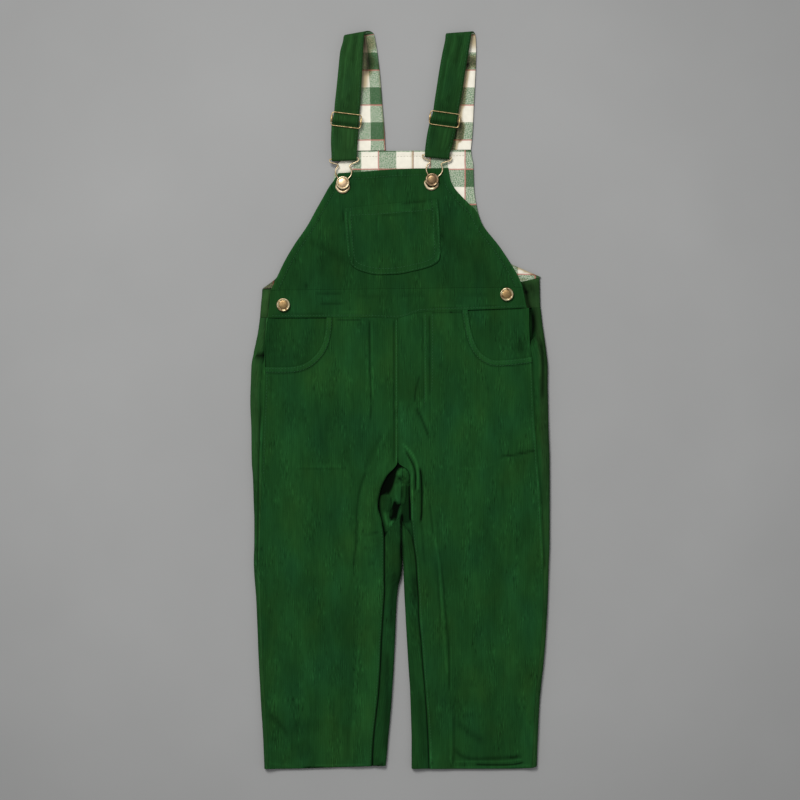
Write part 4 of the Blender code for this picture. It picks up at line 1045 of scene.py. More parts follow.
class Nodes:
    """Short ways to add shader nodes to one material."""

    def __init__(self, name):
        self.material = bpy.data.materials.new(name)
        self.material.use_nodes = True
        self.tree = self.material.node_tree
        self.shader = self.tree.nodes["Principled BSDF"]

    def add(self, kind, **settings):
        node = self.tree.nodes.new(kind)
        for key, value in settings.items():
            setattr(node, key, value)
        return node

    def link(self, source, target):
        self.tree.links.new(source, target)

    def put(self, socket, value):
        """Link a socket, or set its own value."""
        if isinstance(value, bpy.types.NodeSocket):
            self.link(value, socket)
        else:
            socket.default_value = value

    def math(self, operation, a, b=0.0, clamp=False):
        node = self.add("ShaderNodeMath", operation=operation, use_clamp=clamp)
        self.put(node.inputs[0], a)
        self.put(node.inputs[1], b)
        return node.outputs[0]

    def range(self, value, low, high, to_low, to_high, smooth=False):
        node = self.add("ShaderNodeMapRange")
        if smooth:
            node.interpolation_type = "SMOOTHSTEP"
        for socket, number in zip(node.inputs[:5], (value, low, high, to_low, to_high)):
            self.put(socket, number)
        return node.outputs[0]

    def blend(self, share, a, b, kind="MIX"):
        node = self.add("ShaderNodeMix", data_type="RGBA", blend_type=kind)
        self.put(node.inputs[0], share)
        self.put(node.inputs[6], a if not isinstance(a, tuple) else (*a, 1.0))
        self.put(node.inputs[7], b if not isinstance(b, tuple) else (*b, 1.0))
        return node.outputs[2]

    def grain(self):
        """The place on the cloth in millimetres: across the grain, along it, and both as a vector."""
        place = self.scaled(self.add("ShaderNodeUVMap", uv_map="Grain").outputs[0], 1 / MM)
        split = self.add("ShaderNodeSeparateXYZ")
        self.link(place, split.inputs[0])
        return split.outputs[0], split.outputs[1], place

    def scaled(self, vector, factor):
        """A vector or colour times a number."""
        node = self.add("ShaderNodeVectorMath", operation="SCALE")
        self.put(node.inputs[0], vector)
        self.put(node.inputs["Scale"], factor)
        return node.outputs[0]

    def product(self, *factors):
        total = factors[0]
        for factor in factors[1:]:
            total = self.math("MULTIPLY", total, factor)
        return total

    def within(self, coordinate, start, period):
        """How far past `start` a place lies, from 0 again after each period."""
        turns = self.math("DIVIDE", self.math("SUBTRACT", coordinate, start), period)
        return self.math("MULTIPLY", self.math("FRACT", turns), period)

    def noise(self, vector, size, detail=2.0, roughness=0.5, stretch=(1, 1, 1)):
        """Noise whose grains are `size` millimetres wide, stretched along some axes."""
        mapping = self.add("ShaderNodeMapping")
        self.put(mapping.inputs["Vector"], vector)
        mapping.inputs["Scale"].default_value = [1 / (size * s) for s in stretch]
        node = self.add("ShaderNodeTexNoise")
        self.link(mapping.outputs[0], node.inputs["Vector"])
        node.inputs["Scale"].default_value = 1.0
        node.inputs["Detail"].default_value = detail
        node.inputs["Roughness"].default_value = roughness
        return node.outputs[0]

    def shade(self, vector, mottle):
        """A factor that varies over the surface as a Mottle says."""
        noise = self.noise(vector, mottle.size, mottle.detail, mottle.roughness, (1, mottle.stretch, 1))
        return self.range(noise, mottle.low, mottle.high, mottle.at_low, mottle.at_high)

    def attribute(self, name):
        return self.add("ShaderNodeAttribute", attribute_name=name).outputs["Fac"]

    def tone(self):
        """The factor by which the tone attribute makes the cloth lighter or darker: mostly painted light
        and shade.
        """
        return self.math("MAXIMUM", self.math("ADD", self.attribute("tone"), 1.0), DARKEST)

    def object_place(self):
        return self.add("ShaderNodeTexCoord").outputs["Object"]

    def bump(self, height, strength, distance):
        """Fine relief; distance is its height in millimetres."""
        node = self.add("ShaderNodeBump")
        node.inputs["Strength"].default_value = strength
        node.inputs["Distance"].default_value = distance * MM
        self.link(height, node.inputs["Height"])
        self.link(node.outputs[0], self.shader.inputs["Normal"])

    def finish(self, colour, surface):
        """The material, with its colour and the other inputs of its shader set."""
        for name, value in {"Base Color": colour, **surface}.items():
            self.put(self.shader.inputs[name], value)
        return self.material


# A noise that makes a surface lighter and darker: the size of its grains, its detail and roughness and
# its stretch along the grain, and the factors at the low and the high end of what the noise gives
Mottle = namedtuple("Mottle", "size detail roughness stretch low high at_low at_high")

DARKEST = 0.04          # of its full colour, where a tone takes the light away

CORD_GREEN = (0.0093, 0.0522, 0.0118)
CORD_BLUE = (0.0084, 0.0521, 0.0141)
CORD_MOSS = (0.0116, 0.0528, 0.0106)
CORD_OLIVE = (0.0275, 0.0523, 0.0166)
CORD_SURFACE = {"Sheen Weight": 0.05, "Sheen Roughness": 0.4, "Sheen Tint": (0.25, 0.75, 0.30, 1.0),
                "Specular IOR Level": 0.05, "Roughness": 0.95}
CORD_POWER = 0.8        # the shading's own roundness of a cord
CORD_GROOVE_SHADE = (0.89, 1.04)      # painted shade in the groove, up to the top of a cord
TWILL = 0.9             # from one line of the wrong side's twill to the next,
TWILL_SHADES = (0.88, 1.05)     # and its shades
NAP = [
    Mottle(1.4, 3.0, 0.6, 14.0, 0.25, 0.75, 0.90, 1.11),        # streaks along the cords
    Mottle(20.0, 3.0, 0.5, 2.6, 0.3, 0.7, 0.82, 1.18),          # blotches
    Mottle(60.0, 2.0, 0.5, 1.6, 0.3, 0.7, 0.88, 1.12),          # whole areas
    Mottle(3.6, 2.0, 0.6, 8.0, 0.3, 0.7, 0.91, 1.09),           # worn strokes
]
GROOVES_SEEN = Mottle(13.0, 2.0, 0.5, 3.0, 0.40, 0.66, 0.20, 1.0)
FLECKS_SEEN = Mottle(12.0, 2.0, 0.5, 3.0, 0.47, 0.62, 0.10, 0.85)
# Noises: the size of the grains, the detail, the roughness and the stretch across and along
FLECKS = (1.0, 1.0, 0.5, (1, 8.0, 1))
HUE = (34.0, 2.0, 0.5, (1, 1.8, 1))
FIBRE = (0.35, 2.0, 0.6, (1, 2.5, 1))
# Where something begins and ends to show, over a noise, and how much of it there is at each
LIGHT_FLECKS = (0.56, 0.72, 0.0, 0.60)
DARK_FLECKS = (0.28, 0.44, 0.50, 0.0)
BLUE = (0.50, 0.72, 0.0, 1.0)
MOSS = (0.28, 0.48, 1.0, 0.0)
CORD_DEPTH = 0.6        # the share of the bump's height that cords and fibres take,
CORD_BUMP = (0.45, 0.25)        # and its strength and height


def corduroy(name, ribbed):
    """Cotton corduroy with a worn nap and painted shade in its grooves, or the plain twill of its wrong
    side.
    """
    n = Nodes(name)
    across, along, place = n.grain()
    if ribbed:
        cord = n.math("ABSOLUTE", n.math("SINE", n.math("MULTIPLY", across, math.pi / WALE)))
        cord = n.math("POWER", cord, CORD_POWER)
        # the cords' grooves get painted shade in their colour
        grooves = n.range(cord, 0.0, 1.0, *CORD_GROOVE_SHADE)
    else:
        turns = n.math("MULTIPLY", n.math("ADD", across, along), 2 * math.pi / TWILL)
        cord = n.range(n.math("SINE", turns), -1.0, 1.0, 0.0, 1.0)
        grooves = n.range(cord, 0.0, 1.0, *TWILL_SHADES)
    grooves = n.product(n.math("SUBTRACT", grooves, 1.0), n.shade(place, GROOVES_SEEN))
    fleck = n.noise(place, *FLECKS)
    flecks = n.math("SUBTRACT", n.range(fleck, *LIGHT_FLECKS), n.range(fleck, *DARK_FLECKS))
    flecks = n.product(flecks, n.shade(place, FLECKS_SEEN))
    nap = [n.shade(place, mottle) for mottle in NAP]
    shade = n.product(n.math("ADD", grooves, 1.0), n.math("ADD", flecks, 1.0), *nap, n.tone())
    hue = n.noise(place, *HUE)
    colour = n.blend(n.range(hue, *BLUE), CORD_GREEN, CORD_BLUE)
    colour = n.blend(n.range(hue, *MOSS), colour, CORD_MOSS)
    colour = n.blend(n.attribute("tinge"), colour, CORD_OLIVE)
    n.bump(n.product(n.math("ADD", cord, n.noise(place, *FIBRE)), CORD_DEPTH), *CORD_BUMP)
    return n.finish(n.scaled(colour, shade), CORD_SURFACE)


CHECK_PERIOD = 35.0
CHECK_CREAM = (0.87, 0.83, 0.71)
CHECK_MID = (0.105, 0.225, 0.115)
CHECK_GREEN = (0.031, 0.103, 0.035)
CHECK_PINK = (0.48, 0.15, 0.13)
CHECK_SHADOW = (1.0, 0.86, 0.64)        # the tinge of the check where it lies in the shade,
CHECK_SHADED = (-0.45, -0.10, 1.0, 0.0)         # and how much of it, from the darkest tone up
CHECK_SURFACE = {"Specular IOR Level": 0.15, "Roughness": 0.92}
WOBBLE = (9.0, 2.0)     # the noise by which the bands' edges wander,
CHECK_WOBBLE = 0.9      # how far they do,
WEAVE = (1.0, 2.0, 0.6)         # the noise of the single threads,
COTTON = (0.5, 2.0, 0.6)        # and of the cotton's surface,
COTTON_BUMP = (0.4, 0.2)        # with its strength and height
BAND_EDGE = 0.6         # how soft the bands' edges are,
LINE_EDGE = (0.35, 1.0, 1.0, 0.0)       # where a thin line fades out, from its middle,
LINE_STRENGTH = 0.75    # and how much of its colour it has
HALF_SPECKLE = (0.36, 0.62, 0.42, 1.0)          # cream threads show through a band,
FULL_SPECKLE = (0.3, 0.7, 0.78, 1.0)            # and less so where two bands cross
COTTON_NAP = Mottle(6.0, 3.0, 0.5, 1.0, 0.3, 0.7, 0.95, 1.04)


def check(name, green_x, green_y, pink_x, pink_y, lean=0.0):
    """A two-colour check. green_x and green_y say where one green band starts across and along
    the grain; pink_x and pink_y are the thin lines' distances from there. lean is how far the
    bands drift across for each millimetre along."""
    n = Nodes(name)
    across, along, place = n.grain()
    across = n.math("SUBTRACT", across, n.math("MULTIPLY", along, lean))
    wobble = n.product(n.math("SUBTRACT", n.noise(place, *WOBBLE), 0.5), CHECK_WOBBLE)
    half = CHECK_PERIOD / 2
    bands = []
    lines = []
    for coordinate, start, line in ((across, green_x, pink_x), (along, green_y, pink_y)):
        coordinate = n.math("ADD", coordinate, wobble)
        past = n.within(coordinate, start, CHECK_PERIOD)
        rise = n.range(past, 0.0, BAND_EDGE, 0.0, 1.0)
        fall = n.range(past, half, half + BAND_EDGE, 1.0, 0.0)
        bands.append(n.product(rise, fall))
        past = n.within(coordinate, start + line - half, CHECK_PERIOD)
        lines.append(n.range(n.math("ABSOLUTE", n.math("SUBTRACT", past, half)), *LINE_EDGE))
    weave = n.noise(place, *WEAVE)
    either = n.math("MULTIPLY", n.math("MAXIMUM", *bands), n.range(weave, *HALF_SPECKLE), clamp=True)
    both = n.math("MULTIPLY", n.product(*bands), n.range(weave, *FULL_SPECKLE), clamp=True)
    colour = n.blend(either, CHECK_CREAM, CHECK_MID)
    colour = n.blend(both, colour, CHECK_GREEN)
    colour = n.blend(n.product(n.math("MAXIMUM", *lines), LINE_STRENGTH), colour, CHECK_PINK)
    colour = n.blend(n.attribute("tinge"), colour, CHECK_CREAM)
    shaded = n.range(n.attribute("tone"), *CHECK_SHADED)
    colour = n.blend(shaded, colour, CHECK_SHADOW, kind="MULTIPLY")
    n.bump(n.noise(place, *COTTON), *COTTON_BUMP)
    return n.finish(n.scaled(colour, n.product(n.tone(), n.shade(place, COTTON_NAP))), CHECK_SURFACE)


THREAD_NAP = Mottle(0.0012, 2.0, 0.5, 1.0, 0.3, 0.7, 0.8, 1.2)          # its size is in metres
THREAD_SURFACE = {"Specular IOR Level": 0.2, "Roughness": 0.8}


def thread(name, colour):
    n = Nodes(name)
    return n.finish(n.scaled(colour, n.shade(n.object_place(), THREAD_NAP)), THREAD_SURFACE)


PATINA_NOISE = (0.0035, 4.0, 0.65)      # its size is in metres
PATINA = (0.42, 0.62, 0.0, 1.0)         # how much of it there is, over the noise,
BRASS_ROUGHNESS = (0.35, 0.65, 0.32, 0.52)      # and how rough the brass is
DENTS = (0.0007, 2.0)
DENTS_BUMP = (0.25, 0.1)


def brass(name, colour, dark):
    """Dulled brass with its patina."""
    n = Nodes(name)
    place = n.object_place()
    patina = n.noise(place, *PATINA_NOISE)
    tint = n.blend(n.range(patina, *PATINA, smooth=True), colour, dark)
    n.bump(n.noise(place, *DENTS), *DENTS_BUMP)
    return n.finish(tint, {"Roughness": n.range(patina, *BRASS_ROUGHNESS), "Metallic": 1.0})


PAPER = (0.341, 0.343, 0.342)
PAPER_CLOUDS = Mottle(0.12, 3.0, 0.5, 1.0, 0.3, 0.7, 0.98, 1.02)        # their size is in metres
PAPER_FALLOFF_SHADE = (0.34, 0.55, 1.0, 0.86)    # painted fall-off of the light: the paper is darker from so many metres out
PAPER_SURFACE = {"Specular IOR Level": 0.2, "Roughness": 0.9}


def floor_paper():
    n = Nodes("floor_paper")
    place = n.object_place()
    away = n.add("ShaderNodeVectorMath", operation="LENGTH")
    n.link(place, away.inputs[0])
    # the paper darkens outwards as painted fall-off of the light
    shade = n.product(n.shade(place, PAPER_CLOUDS), n.range(away.outputs["Value"], *PAPER_FALLOFF_SHADE))
    return n.finish(n.scaled(PAPER, shade), PAPER_SURFACE)


# ---------------------------------------------------------------- the cloth pieces
# The tones and creases of a piece follow its function.

SCOOP_HEM = 5.8         # how wide the scoop's turned edge is,
SCOOP_LIFT = 0.6        # how far it stands up,
SCOOP_HIGHLIGHT = 0.14       # its painted highlight,
SCOOP_GROOVE_SHADE = -0.38    # and the painted shade in the groove of its row of stitches
SCOOP_PARTS = 8         # straight parts between two points of its line
OFF_SCOOP = 0.02        # no point beside the scoop counts as nearer than this


def front_leg(leg, materials):
    columns, rows = grid_of("front_leg")
    scoop = Curve(leg.scoop)
    scoop_start = leg.scoop[-1][0]

    def top(out):
        return np.minimum(leg.waist(out), np.where(out > scoop_start, scoop(out), FAR))

    out, y, edges = fill(columns, rows, leg.inseam, leg.seam, leg.hem, top)
    outs = np.concatenate([steps_between(a, b, abs(b - a) / SCOOP_PARTS)[:-1]
                           for (a, _), (b, _) in zip(leg.scoop[::-1], leg.scoop[-2::-1])])
    from_scoop = along_path(np.stack([outs, scoop(outs)], 1), out, y)[0]
    on_scoop = (edges[3] < TOUCH) & (out > scoop_start)
    from_scoop = np.where(on_scoop, 0.0, np.maximum(from_scoop, OFF_SCOOP))
    from_waist = np.maximum(leg.waist(out) - y, 0.0)
    edge = nearest_edge(edges[:3] + [from_waist, from_scoop], (True, True, False, True, False))
    height, tone = front_relief(leg.side * out, y)
    rolled, rolled_tone = hem(from_scoop, SCOOP_HEM, SCOOP_LIFT, SCOOP_HIGHLIGHT, SCOOP_GROOVE_SHADE)
    turned = leg.lip(y) * np.clip(1 - (out - leg.inseam(y)) / LIP_WIDTH, 0, 1)
    z = leg.height(out, y) + height + rolled - LIP_DROP * turned ** 2
    x = leg.side * (out + LIP_SHIFT * turned)
    return cloth("front_leg_" + leg.name, out + leg.grain, y, stack(x, y, z), edge,
                 tone + rolled_tone, CLOTH, 1, True, materials)


def round_edge(u, start, radius, direction):
    """Where a strip lies that runs flat up to `start` and then turns up and back over itself.

    Gives the place across, the height above the flat part, and how far the turn is done (0 to 1);
    beyond the turn the height is left for the layer on top.
    """
    distance = np.maximum((u - start) * direction, 0.0)
    turn = np.clip(distance / radius, 0, math.pi)
    beyond = distance - turn * radius
    across = np.where(distance > 0, start + direction * (radius * np.sin(turn) - beyond), u)
    return across, radius * (1 - np.cos(turn)), turn / math.pi


LEG_TOP = 85.0          # the heights y at which the fold is taken for the whole waist seam
LEG_END = -368.0        # and for the whole hem


def back_leg(leg, materials):
    columns, rows = grid_of("back_leg")

    def right(y):
        centre = leg.centre(y)
        return centre + math.pi * fold_radius(y) + centre - leg.wrap(y) + GAP - SEAM

    def left(y):
        return leg.start(y) - leg.end(y)

    def top(u):
        out, _, _ = round_edge(u, leg.centre(LEG_TOP), fold_radius(LEG_TOP), 1)
        return broken(BACK_WAIST_SEAM)(leg.side * out) - HALF_GAP

    def low(u):
        out, _, _ = round_edge(u, leg.centre(LEG_END), fold_radius(LEG_END), 1)
        return leg.hem(np.clip(out, leg.inner(LEG_END), leg.fold(LEG_END)))

    u, y, edges = fill(columns, rows, left, right, low, top)
    edge = nearest_edge(edges, (True, True, False, True))
    radius = fold_radius(y)
    out, up, turned = round_edge(u, leg.centre(y), radius, 1)
    start = leg.start(y)
    inner_out, inner_up, inner_turned = round_edge(u, start, radius, -1)
    inward = u < start
    out = np.where(inward, inner_out, out)
    up = np.where(inward, inner_up * (1 + leg.bunch(y) / (2 * radius)), up)
    turned = np.where(inward, inner_turned, turned)
    pucker = leg.pucker(y) * np.clip(1 - np.maximum(u - start, 0) / SEAM_STRIP, 0, 1) ** 2
    x = leg.side * out
    height, tone = front_relief(x, y)
    on_top = turned > TURNED
    front = leg.height(out, y) + height
    z = np.where(on_top, front, FLOOR + up + pucker * (turned == 0) + height * turned)
    crotch, crotch_tone = relief(CROTCH_CREASES, x, y)
    inside = ~on_top & (u < leg.centre(y)) & (y < CROTCH_TOP) & (out < CROTCH_REACH)
    z = np.maximum(z + crotch * inside, FLOOR)
    # painted shade of the crotch's pits and cracks and painted light on its lumps, then painted shadow
    # past the right pocket's edge
    tone = tone * on_top + crotch_tone * inside
    tone = tone + relief(INNER_SHADES, x, y)[1] * (u > start)
    # near the outer fold: an olive tinge, and painted light and shade of the fold's curve
    near_fold = smoothstep(*WRAP_EDGE, leg.fold(y) - out) * (u > start)
    above = smoothstep(*WRAP_ZONE, y)
    tinge = WRAP_TINGE[leg.name] * near_fold * mix(WRAP_TINGE_BELOW, 1.0, above)
    tone = tone + WRAP_PAINTED_SHADING[leg.name] * near_fold * mix(WRAP_SHADING_BELOW, 1.0, above)
    # painted shade on the inner fold where it turns down, and the painted shadow of the gap between the
    # legs
    folded = smoothstep(*TURN_SEEN, turned) * (u < start)
    tone = tone + (INNER_FOLD_SHADE[leg.name] + relief(FOLD_SHADES, x, y)[1]) * folded
    return cloth("back_leg_" + leg.name, u + leg.grain, y, stack(x, y, z), edge, tone, CLOTH, -1,
                 True, materials, tinge)


CROTCH_TOP = 10.0       # the crotch's creases act below this y
CROTCH_REACH = 45.0     # and up to this distance from the middle line
TURN_SEEN = (0.3, 0.8)  # the part of a turn over which the cloth comes into view from above
WRAP_EDGE = (10.0, 6.0)         # how far in from the fold the olive tinge and the painted light and shade reach, fading out
WRAP_ZONE = (-110.0, -30.0)     # the heights y over which it fades downwards,
WRAP_TINGE_BELOW = 0.45         # to this share of its colour
WRAP_SHADING_BELOW = 0.3           # and of its painted light and shade
WRAP_TINGE = {"left": 0.30, "right": 0.38}
# painted light on the left leg's outer fold, which faces the lamp, and painted shade on the right one
WRAP_PAINTED_SHADING = {"left": 0.14, "right": -0.22}
# painted shade on each inner fold where it turns down, seen from above
INNER_FOLD_SHADE = {"left": -0.18, "right": -0.08}

# Lumps and pits of the back panels between the legs, just below the front's crotch: their tones are
# # painted shade, near black in the pits and cracks, and painted highlights on the lumps
CROTCH_CREASES = [
    # the pit at the top left and the one in the middle, painted near black as shadow
    Patch([(1, -62), (-5, -66), (-9, -74), (-12, -84), (-15, -90)], 5.5, -0.1, -0.95),
    Patch([(-3.2, -104), (-5.2, -109.5), (-6.8, -117)], 3.8, -0.1, -0.96),
    Patch([(-9, -110), (-9.2, -114)], 1.6, 0.1, -0.72),
    # the lump on the left, and the tongue in the middle with its fold
    Patch([(-13.5, -97.5), (-12.5, -102), (-13.5, -108)], 3.6, 1.8, -0.34),
    Patch([(6.5, -90), (7.5, -104), (6.5, -118)], 4.8, 0.8, -0.58),
    Patch([(3.2, -101), (4.4, -108), (4.2, -116)], 2.6, 1.2, -0.60),
    Patch([(0.2, -74), (5, -73), (6, -79)], 3.6, 2.4, 0.02),
    Patch([(-0.5, -87), (0.5, -93), (0, -99)], 4.2, 3.4, 0.05),
    Patch([(3.6, -88), (3.4, -94), (2.6, -101)], 2.2, 2.8, -0.20),
    Crease([(1.8, -86), (2.0, -93), (1.4, -101)], 1.5, -0.3, -0.30),
    Crease([(-4.4, -83), (-4.2, -92), (-3.2, -99), (-0.4, -102)], 1.0, 0.5, 0.72),
    Crease([(-2.8, -77.6), (0, -78.6), (2.4, -79)], 1.1, -0.4, -0.80),
    Crease([(-2, -76), (-0.6, -73), (1.6, -71.8)], 1.1, 0.3, 0.55),
    Crease([(3.6, -74.6), (6.4, -76.4)], 1.0, 0.3, 0.50),
    Crease([(-0.5, -85.4), (3, -85), (6.4, -86.4)], 0.9, 0.4, 0.45),
    Crease([(-6, -82.5), (0, -81), (8, -77)], 0.9, -0.8, -0.50),
    Crease([(-3, -70.5), (4, -69), (9, -74)], 0.9, 0.5, 0.40),
    Crease([(-2, -77), (3, -76), (6, -74)], 0.8, -0.3, -0.40),
    Crease([(-14, -95), (-11, -97), (-8, -95)], 1.2, 0.4, 0.30),
    # the folds that meet in a point below them
    Crease([(-15.2, -109), (-14, -118), (-11.5, -128)], 1.3, 1.2, 0.55),
    Crease([(-11.5, -128.5), (-7.5, -122), (-3.5, -117)], 1.2, 1.2, 0.50),
    Crease([(-17, -134), (-9, -131.5), (-2.5, -123)], 1.6, -0.3, -0.75),
    Crease([(-8, -127), (-5, -124), (-3, -121)], 1.6, 0.4, -0.35),
    # painted shadow in the cracks along the front panels' edges and between the legs
    Crease([(0, -62), (-7, -66), (-14.5, -78), (-19, -90), (-21.5, -103), (-19.8, -117),
            (-16.6, -130), (-15.6, -146)], 2.4, 0.0, -1.0),
    Crease([(0, -62), (6, -68), (9.6, -73), (10.2, -84), (10.4, -102), (10.8, -122)], 1.4, 0.0, -0.95),
    Crease([(1.4, -112), (1.6, -124), (1.6, -138), (1.4, -158)], 1.4, 0.0, -1.0),
    # the inner folds below
    Crease([(-12.5, -136), (-9.5, -146), (-8, -154)], 1.2, 0.4, 0.40),
    Crease([(-4, -133), (-2.5, -140), (-3.5, -150)], 1.2, 0.4, 0.35),
    Crease([(4.2, -124), (5, -134), (5.5, -146)], 1.4, 0.4, 0.40),
    Crease([(8.6, -126), (9.5, -136), (11, -150), (12, -165)], 2.0, -0.3, -0.45),
]
# Painted shade on the legs' inner folds, further down, standing in for the shadow in the gap between the
# legs;
# # the two light ones are painted highlights
FOLD_SHADES = [
    Crease([(1.5, -138), (1.5, -160), (0.5, -176), (-1.5, -188)], 2.4, 0.0, -0.62),
    Crease([(-5, -168), (-6, -182), (-8, -204), (-9, -230)], 3.0, 0.0, -0.42),
    Crease([(13, -170), (14.5, -190), (14.5, -206)], 3.0, 0.0, -0.45),
    Crease([(7, -200), (8, -225), (9.5, -250)], 2.0, 0.0, 0.14),
    Crease([(-12.5, -250), (-13, -300), (-15, -350)], 2.4, 0.0, -0.30),
    Crease([(19.5, -290), (22.5, -325), (24.5, -362)], 3.5, 0.0, -0.32),
    Crease([(14, -250), (16, -270), (17.5, -284)], 3.0, 0.0, 0.10),
]
# Painted shadow on the back where it shows past the edge of the right front pocket and of the waistband,
# # with a painted highlight on the fold beyond
INNER_SHADES = [
    Crease([(120, 122), (123, 114), (126, 106), (128, 96), (131, 88), (132.5, 76), (132, 64), (130, 52)],
           2.7, 0.0, -0.80),
    Crease([(133.5, 94), (134, 84), (134.5, 74), (133.5, 62)], 2.4, 0.0, -0.25),
    Crease([(139, 96), (140, 76), (141, 58)], 2.6, 0.0, 0.24),
]


def pocket_facing(leg, materials):
    columns, rows = grid_of("pocket_facing")
    inner_row, outer_row = leg.facing[0], leg.facing[-1]

    def left(y):
        return np.full(y.shape, inner_row[0])

    def right(y):
        return np.where(y > outer_row[1], leg.seam(y), outer_row[0])

    out, y, edges = fill(columns, rows, left, right, Curve(leg.facing), leg.waist)
    edge = nearest_edge(edges, (False, True, False, True))
    near_seam = 1 - smoothstep(0.0, FACING_REACH, leg.seam(y) - out)
    lifted = near_seam * smoothstep(*FACING_ZONE, y)
    x = leg.side * out
    height, tone = relief(FACING_CREASES, x, y)
    z = leg.height(out, y) - FACING_DROP * (1 - lifted) + height
    return cloth("pocket_facing_" + leg.name, out + leg.grain, y, stack(x, y, z), edge,
                 tone + FACING_TONE[leg.name], CLOTH, 1, True, materials)


FACING_TONE = {"left": -0.12, "right": -0.04}
# Creases of the pocket facings, with painted shade along them and one painted highlight
FACING_CREASES = [
    Crease([(90.5, 86), (90.5, 74), (91, 64)], 1.3, -0.15, -0.25),
    Crease([(118, 66), (121, 52), (123, 42)], 4.5, -0.25, -0.35),
    Crease([(-88, 78), (-90, 60), (-96, 44)], 5.0, -0.2, -0.12),
    Crease([(-112, 80), (-114, 60), (-116, 42)], 4.0, 0.2, 0.08),
]


def front_waistband(materials):
    columns, rows = grid_of("front_waistband")

    def end(top_and_bottom):
        return lambda y: mix(*top_and_bottom, np.clip((BAND_TOP - y) / BAND_WIDTH, 0, 1))

    x, y, edges = fill(columns, rows, end(FRONT_BAND_LEFT), end(FRONT_BAND_RIGHT),
                       lambda x: broken(WAIST_SEAM)(x) + HALF_GAP,
                       lambda x: broken(BIB_SEAM)(x) - HALF_GAP)
    edge = nearest_edge(edges, (False, False, True, True))
    height, tone = front_relief(x, y, BAND_CREASES)
    z = waist_height(x, y) + height
    return cloth("front_waistband", x, y, stack(x, y, z), edge, tone + BAND_TONE, CLOTH, 1, True,
                 materials)


BAND_TONE = -0.09
# Creases and stitched lines of the front waistband, with painted light and shade along them
BAND_CREASES = [
    Crease([(121.8, 111), (124.5, 100), (127.4, 84)], 1.2, 0.0, 0.26),
    Crease([(-82, 96.5), (-68, 96), (-54, 97)], 1.2, -0.3, -0.32),
    Crease([(-87, 107), (-72, 106), (-56, 106.5)], 1.3, -0.3, -0.26),
    Crease([(-80, 101), (-68, 101.5), (-58, 102)], 2.0, 0.3, 0.10),
    Crease([(-130, 84.5), (-100, 85), (-72, 85.5)], 1.6, -0.2, -0.22),
    Crease([(-61, 87.5), (-48, 87.5), (-34, 87)], 1.0, 0.2, 0.2),
    Crease([(-44, 104), (-30, 103), (-12, 104)], 1.6, -0.2, -0.15),
    Crease([(-2, 103), (12, 105), (28, 104)], 1.6, -0.2, -0.14),
    Crease([(30, 93.5), (60, 94), (98, 96)], 1.0, 0.2, 0.14),
    Crease([(26, 91), (60, 91), (98, 92.5)], 1.0, 0.2, 0.16),
    Crease([(26, 92.3), (60, 92.4), (98, 94)], 0.9, -0.2, -0.2),
    Crease([(60, 104), (76, 105), (92, 104)], 2.0, -0.2, -0.14),
]


def edge_of(rows, which):
    return Curve([(getattr(row, which)[1], getattr(row, which)[0]) for row in rows])


def line_through(a, b):
    return lambda x: a[1] + (x - a[0]) * (b[1] - a[1]) / (b[0] - a[0])


def front_bib(materials):
    columns, rows = grid_of("front_bib")
    x, y, edges = fill(columns, rows, edge_of(FRONT_BIB, "left"), edge_of(FRONT_BIB, "right"),
                       lambda x: broken(BIB_SEAM)(x) + HALF_GAP, broken(BIB_TOP))
    edge = nearest_edge(edges, (False, False, True, False))
    height, tone = front_relief(x, y, BIB_CREASES)
    from_side = BIB_SLANT * np.minimum(edges[0], edges[1])
    border, border_tone = hem(np.minimum(from_side, edges[3]), *BIB_HEM)
    z = bib_height(x, y) + height + border
    # painted highlight on the border and painted sheen along the bib's rolled sides
    tone = tone + border_tone + BIB_RIM_SHEEN * smoothstep(*BIB_RIM_WIDTH, from_side)
    tone = tone + mix(*BIB_TONES, smoothstep(*BIB_TONE_ZONE, y))
    return cloth("front_bib", x, y, stack(x, y, z), edge, tone, CLOTH, 1, True, materials)


BIB_SLANT = 0.85        # the distance from a slanted side, as a share of the distance along x
BIB_HEM = (6.5, 0.3, 0.05)      # the width, height and painted highlight of the turned border
BIB_RIM_SHEEN = 0.22          # the painted sheen along the rim of the bib's rolled sides,
BIB_RIM_WIDTH = (2.2, 1.0)      # which fades out inwards between these distances
BIB_TONES = (-0.15, -0.08)      # at the bottom and at the top,
BIB_TONE_ZONE = (130.0, 205.0)  # and the heights y between
# Creases of the bib, with painted light and shade along them
BIB_CREASES = [
    Crease([(-96, 161), (-80, 153), (-60, 141.5), (-47.5, 133)], 4.0, -0.6, -0.16),
    Crease([(-57.6, 190.5), (-57, 184), (-56.4, 176)], 0.9, -0.2, -0.36),
    Crease([(-74.5, 175), (-74.5, 166), (-75, 157)], 0.9, 0.2, 0.22),
    Crease([(52.5, 213), (56, 204), (60.5, 194)], 0.9, 0.2, 0.22),
    Crease([(72, 180.5), (75, 174), (79, 167)], 0.9, 0.2, 0.22),
    Crease([(-93.5, 118), (-93.5, 113), (-93, 109.5)], 2.2, -0.2, -0.30),
    Crease([(42.2, 186), (42.8, 170), (43.2, 152)], 1.0, -0.2, -0.26),
    Crease([(-104, 150), (-92, 134), (-84, 120)], 8.0, 0.4, 0.08),
    Crease([(-70, 150), (-76, 136), (-90, 122)], 6.0, -0.35, -0.10),
    Crease([(52, 190), (62, 170), (70, 150)], 7.0, 0.3, 0.06),
    Crease([(48, 168), (56, 150), (70, 132)], 6.0, -0.35, -0.10),
    Crease([(-48, 204), (-20, 206), (20, 210)], 5.0, 0.25, 0.04),
]


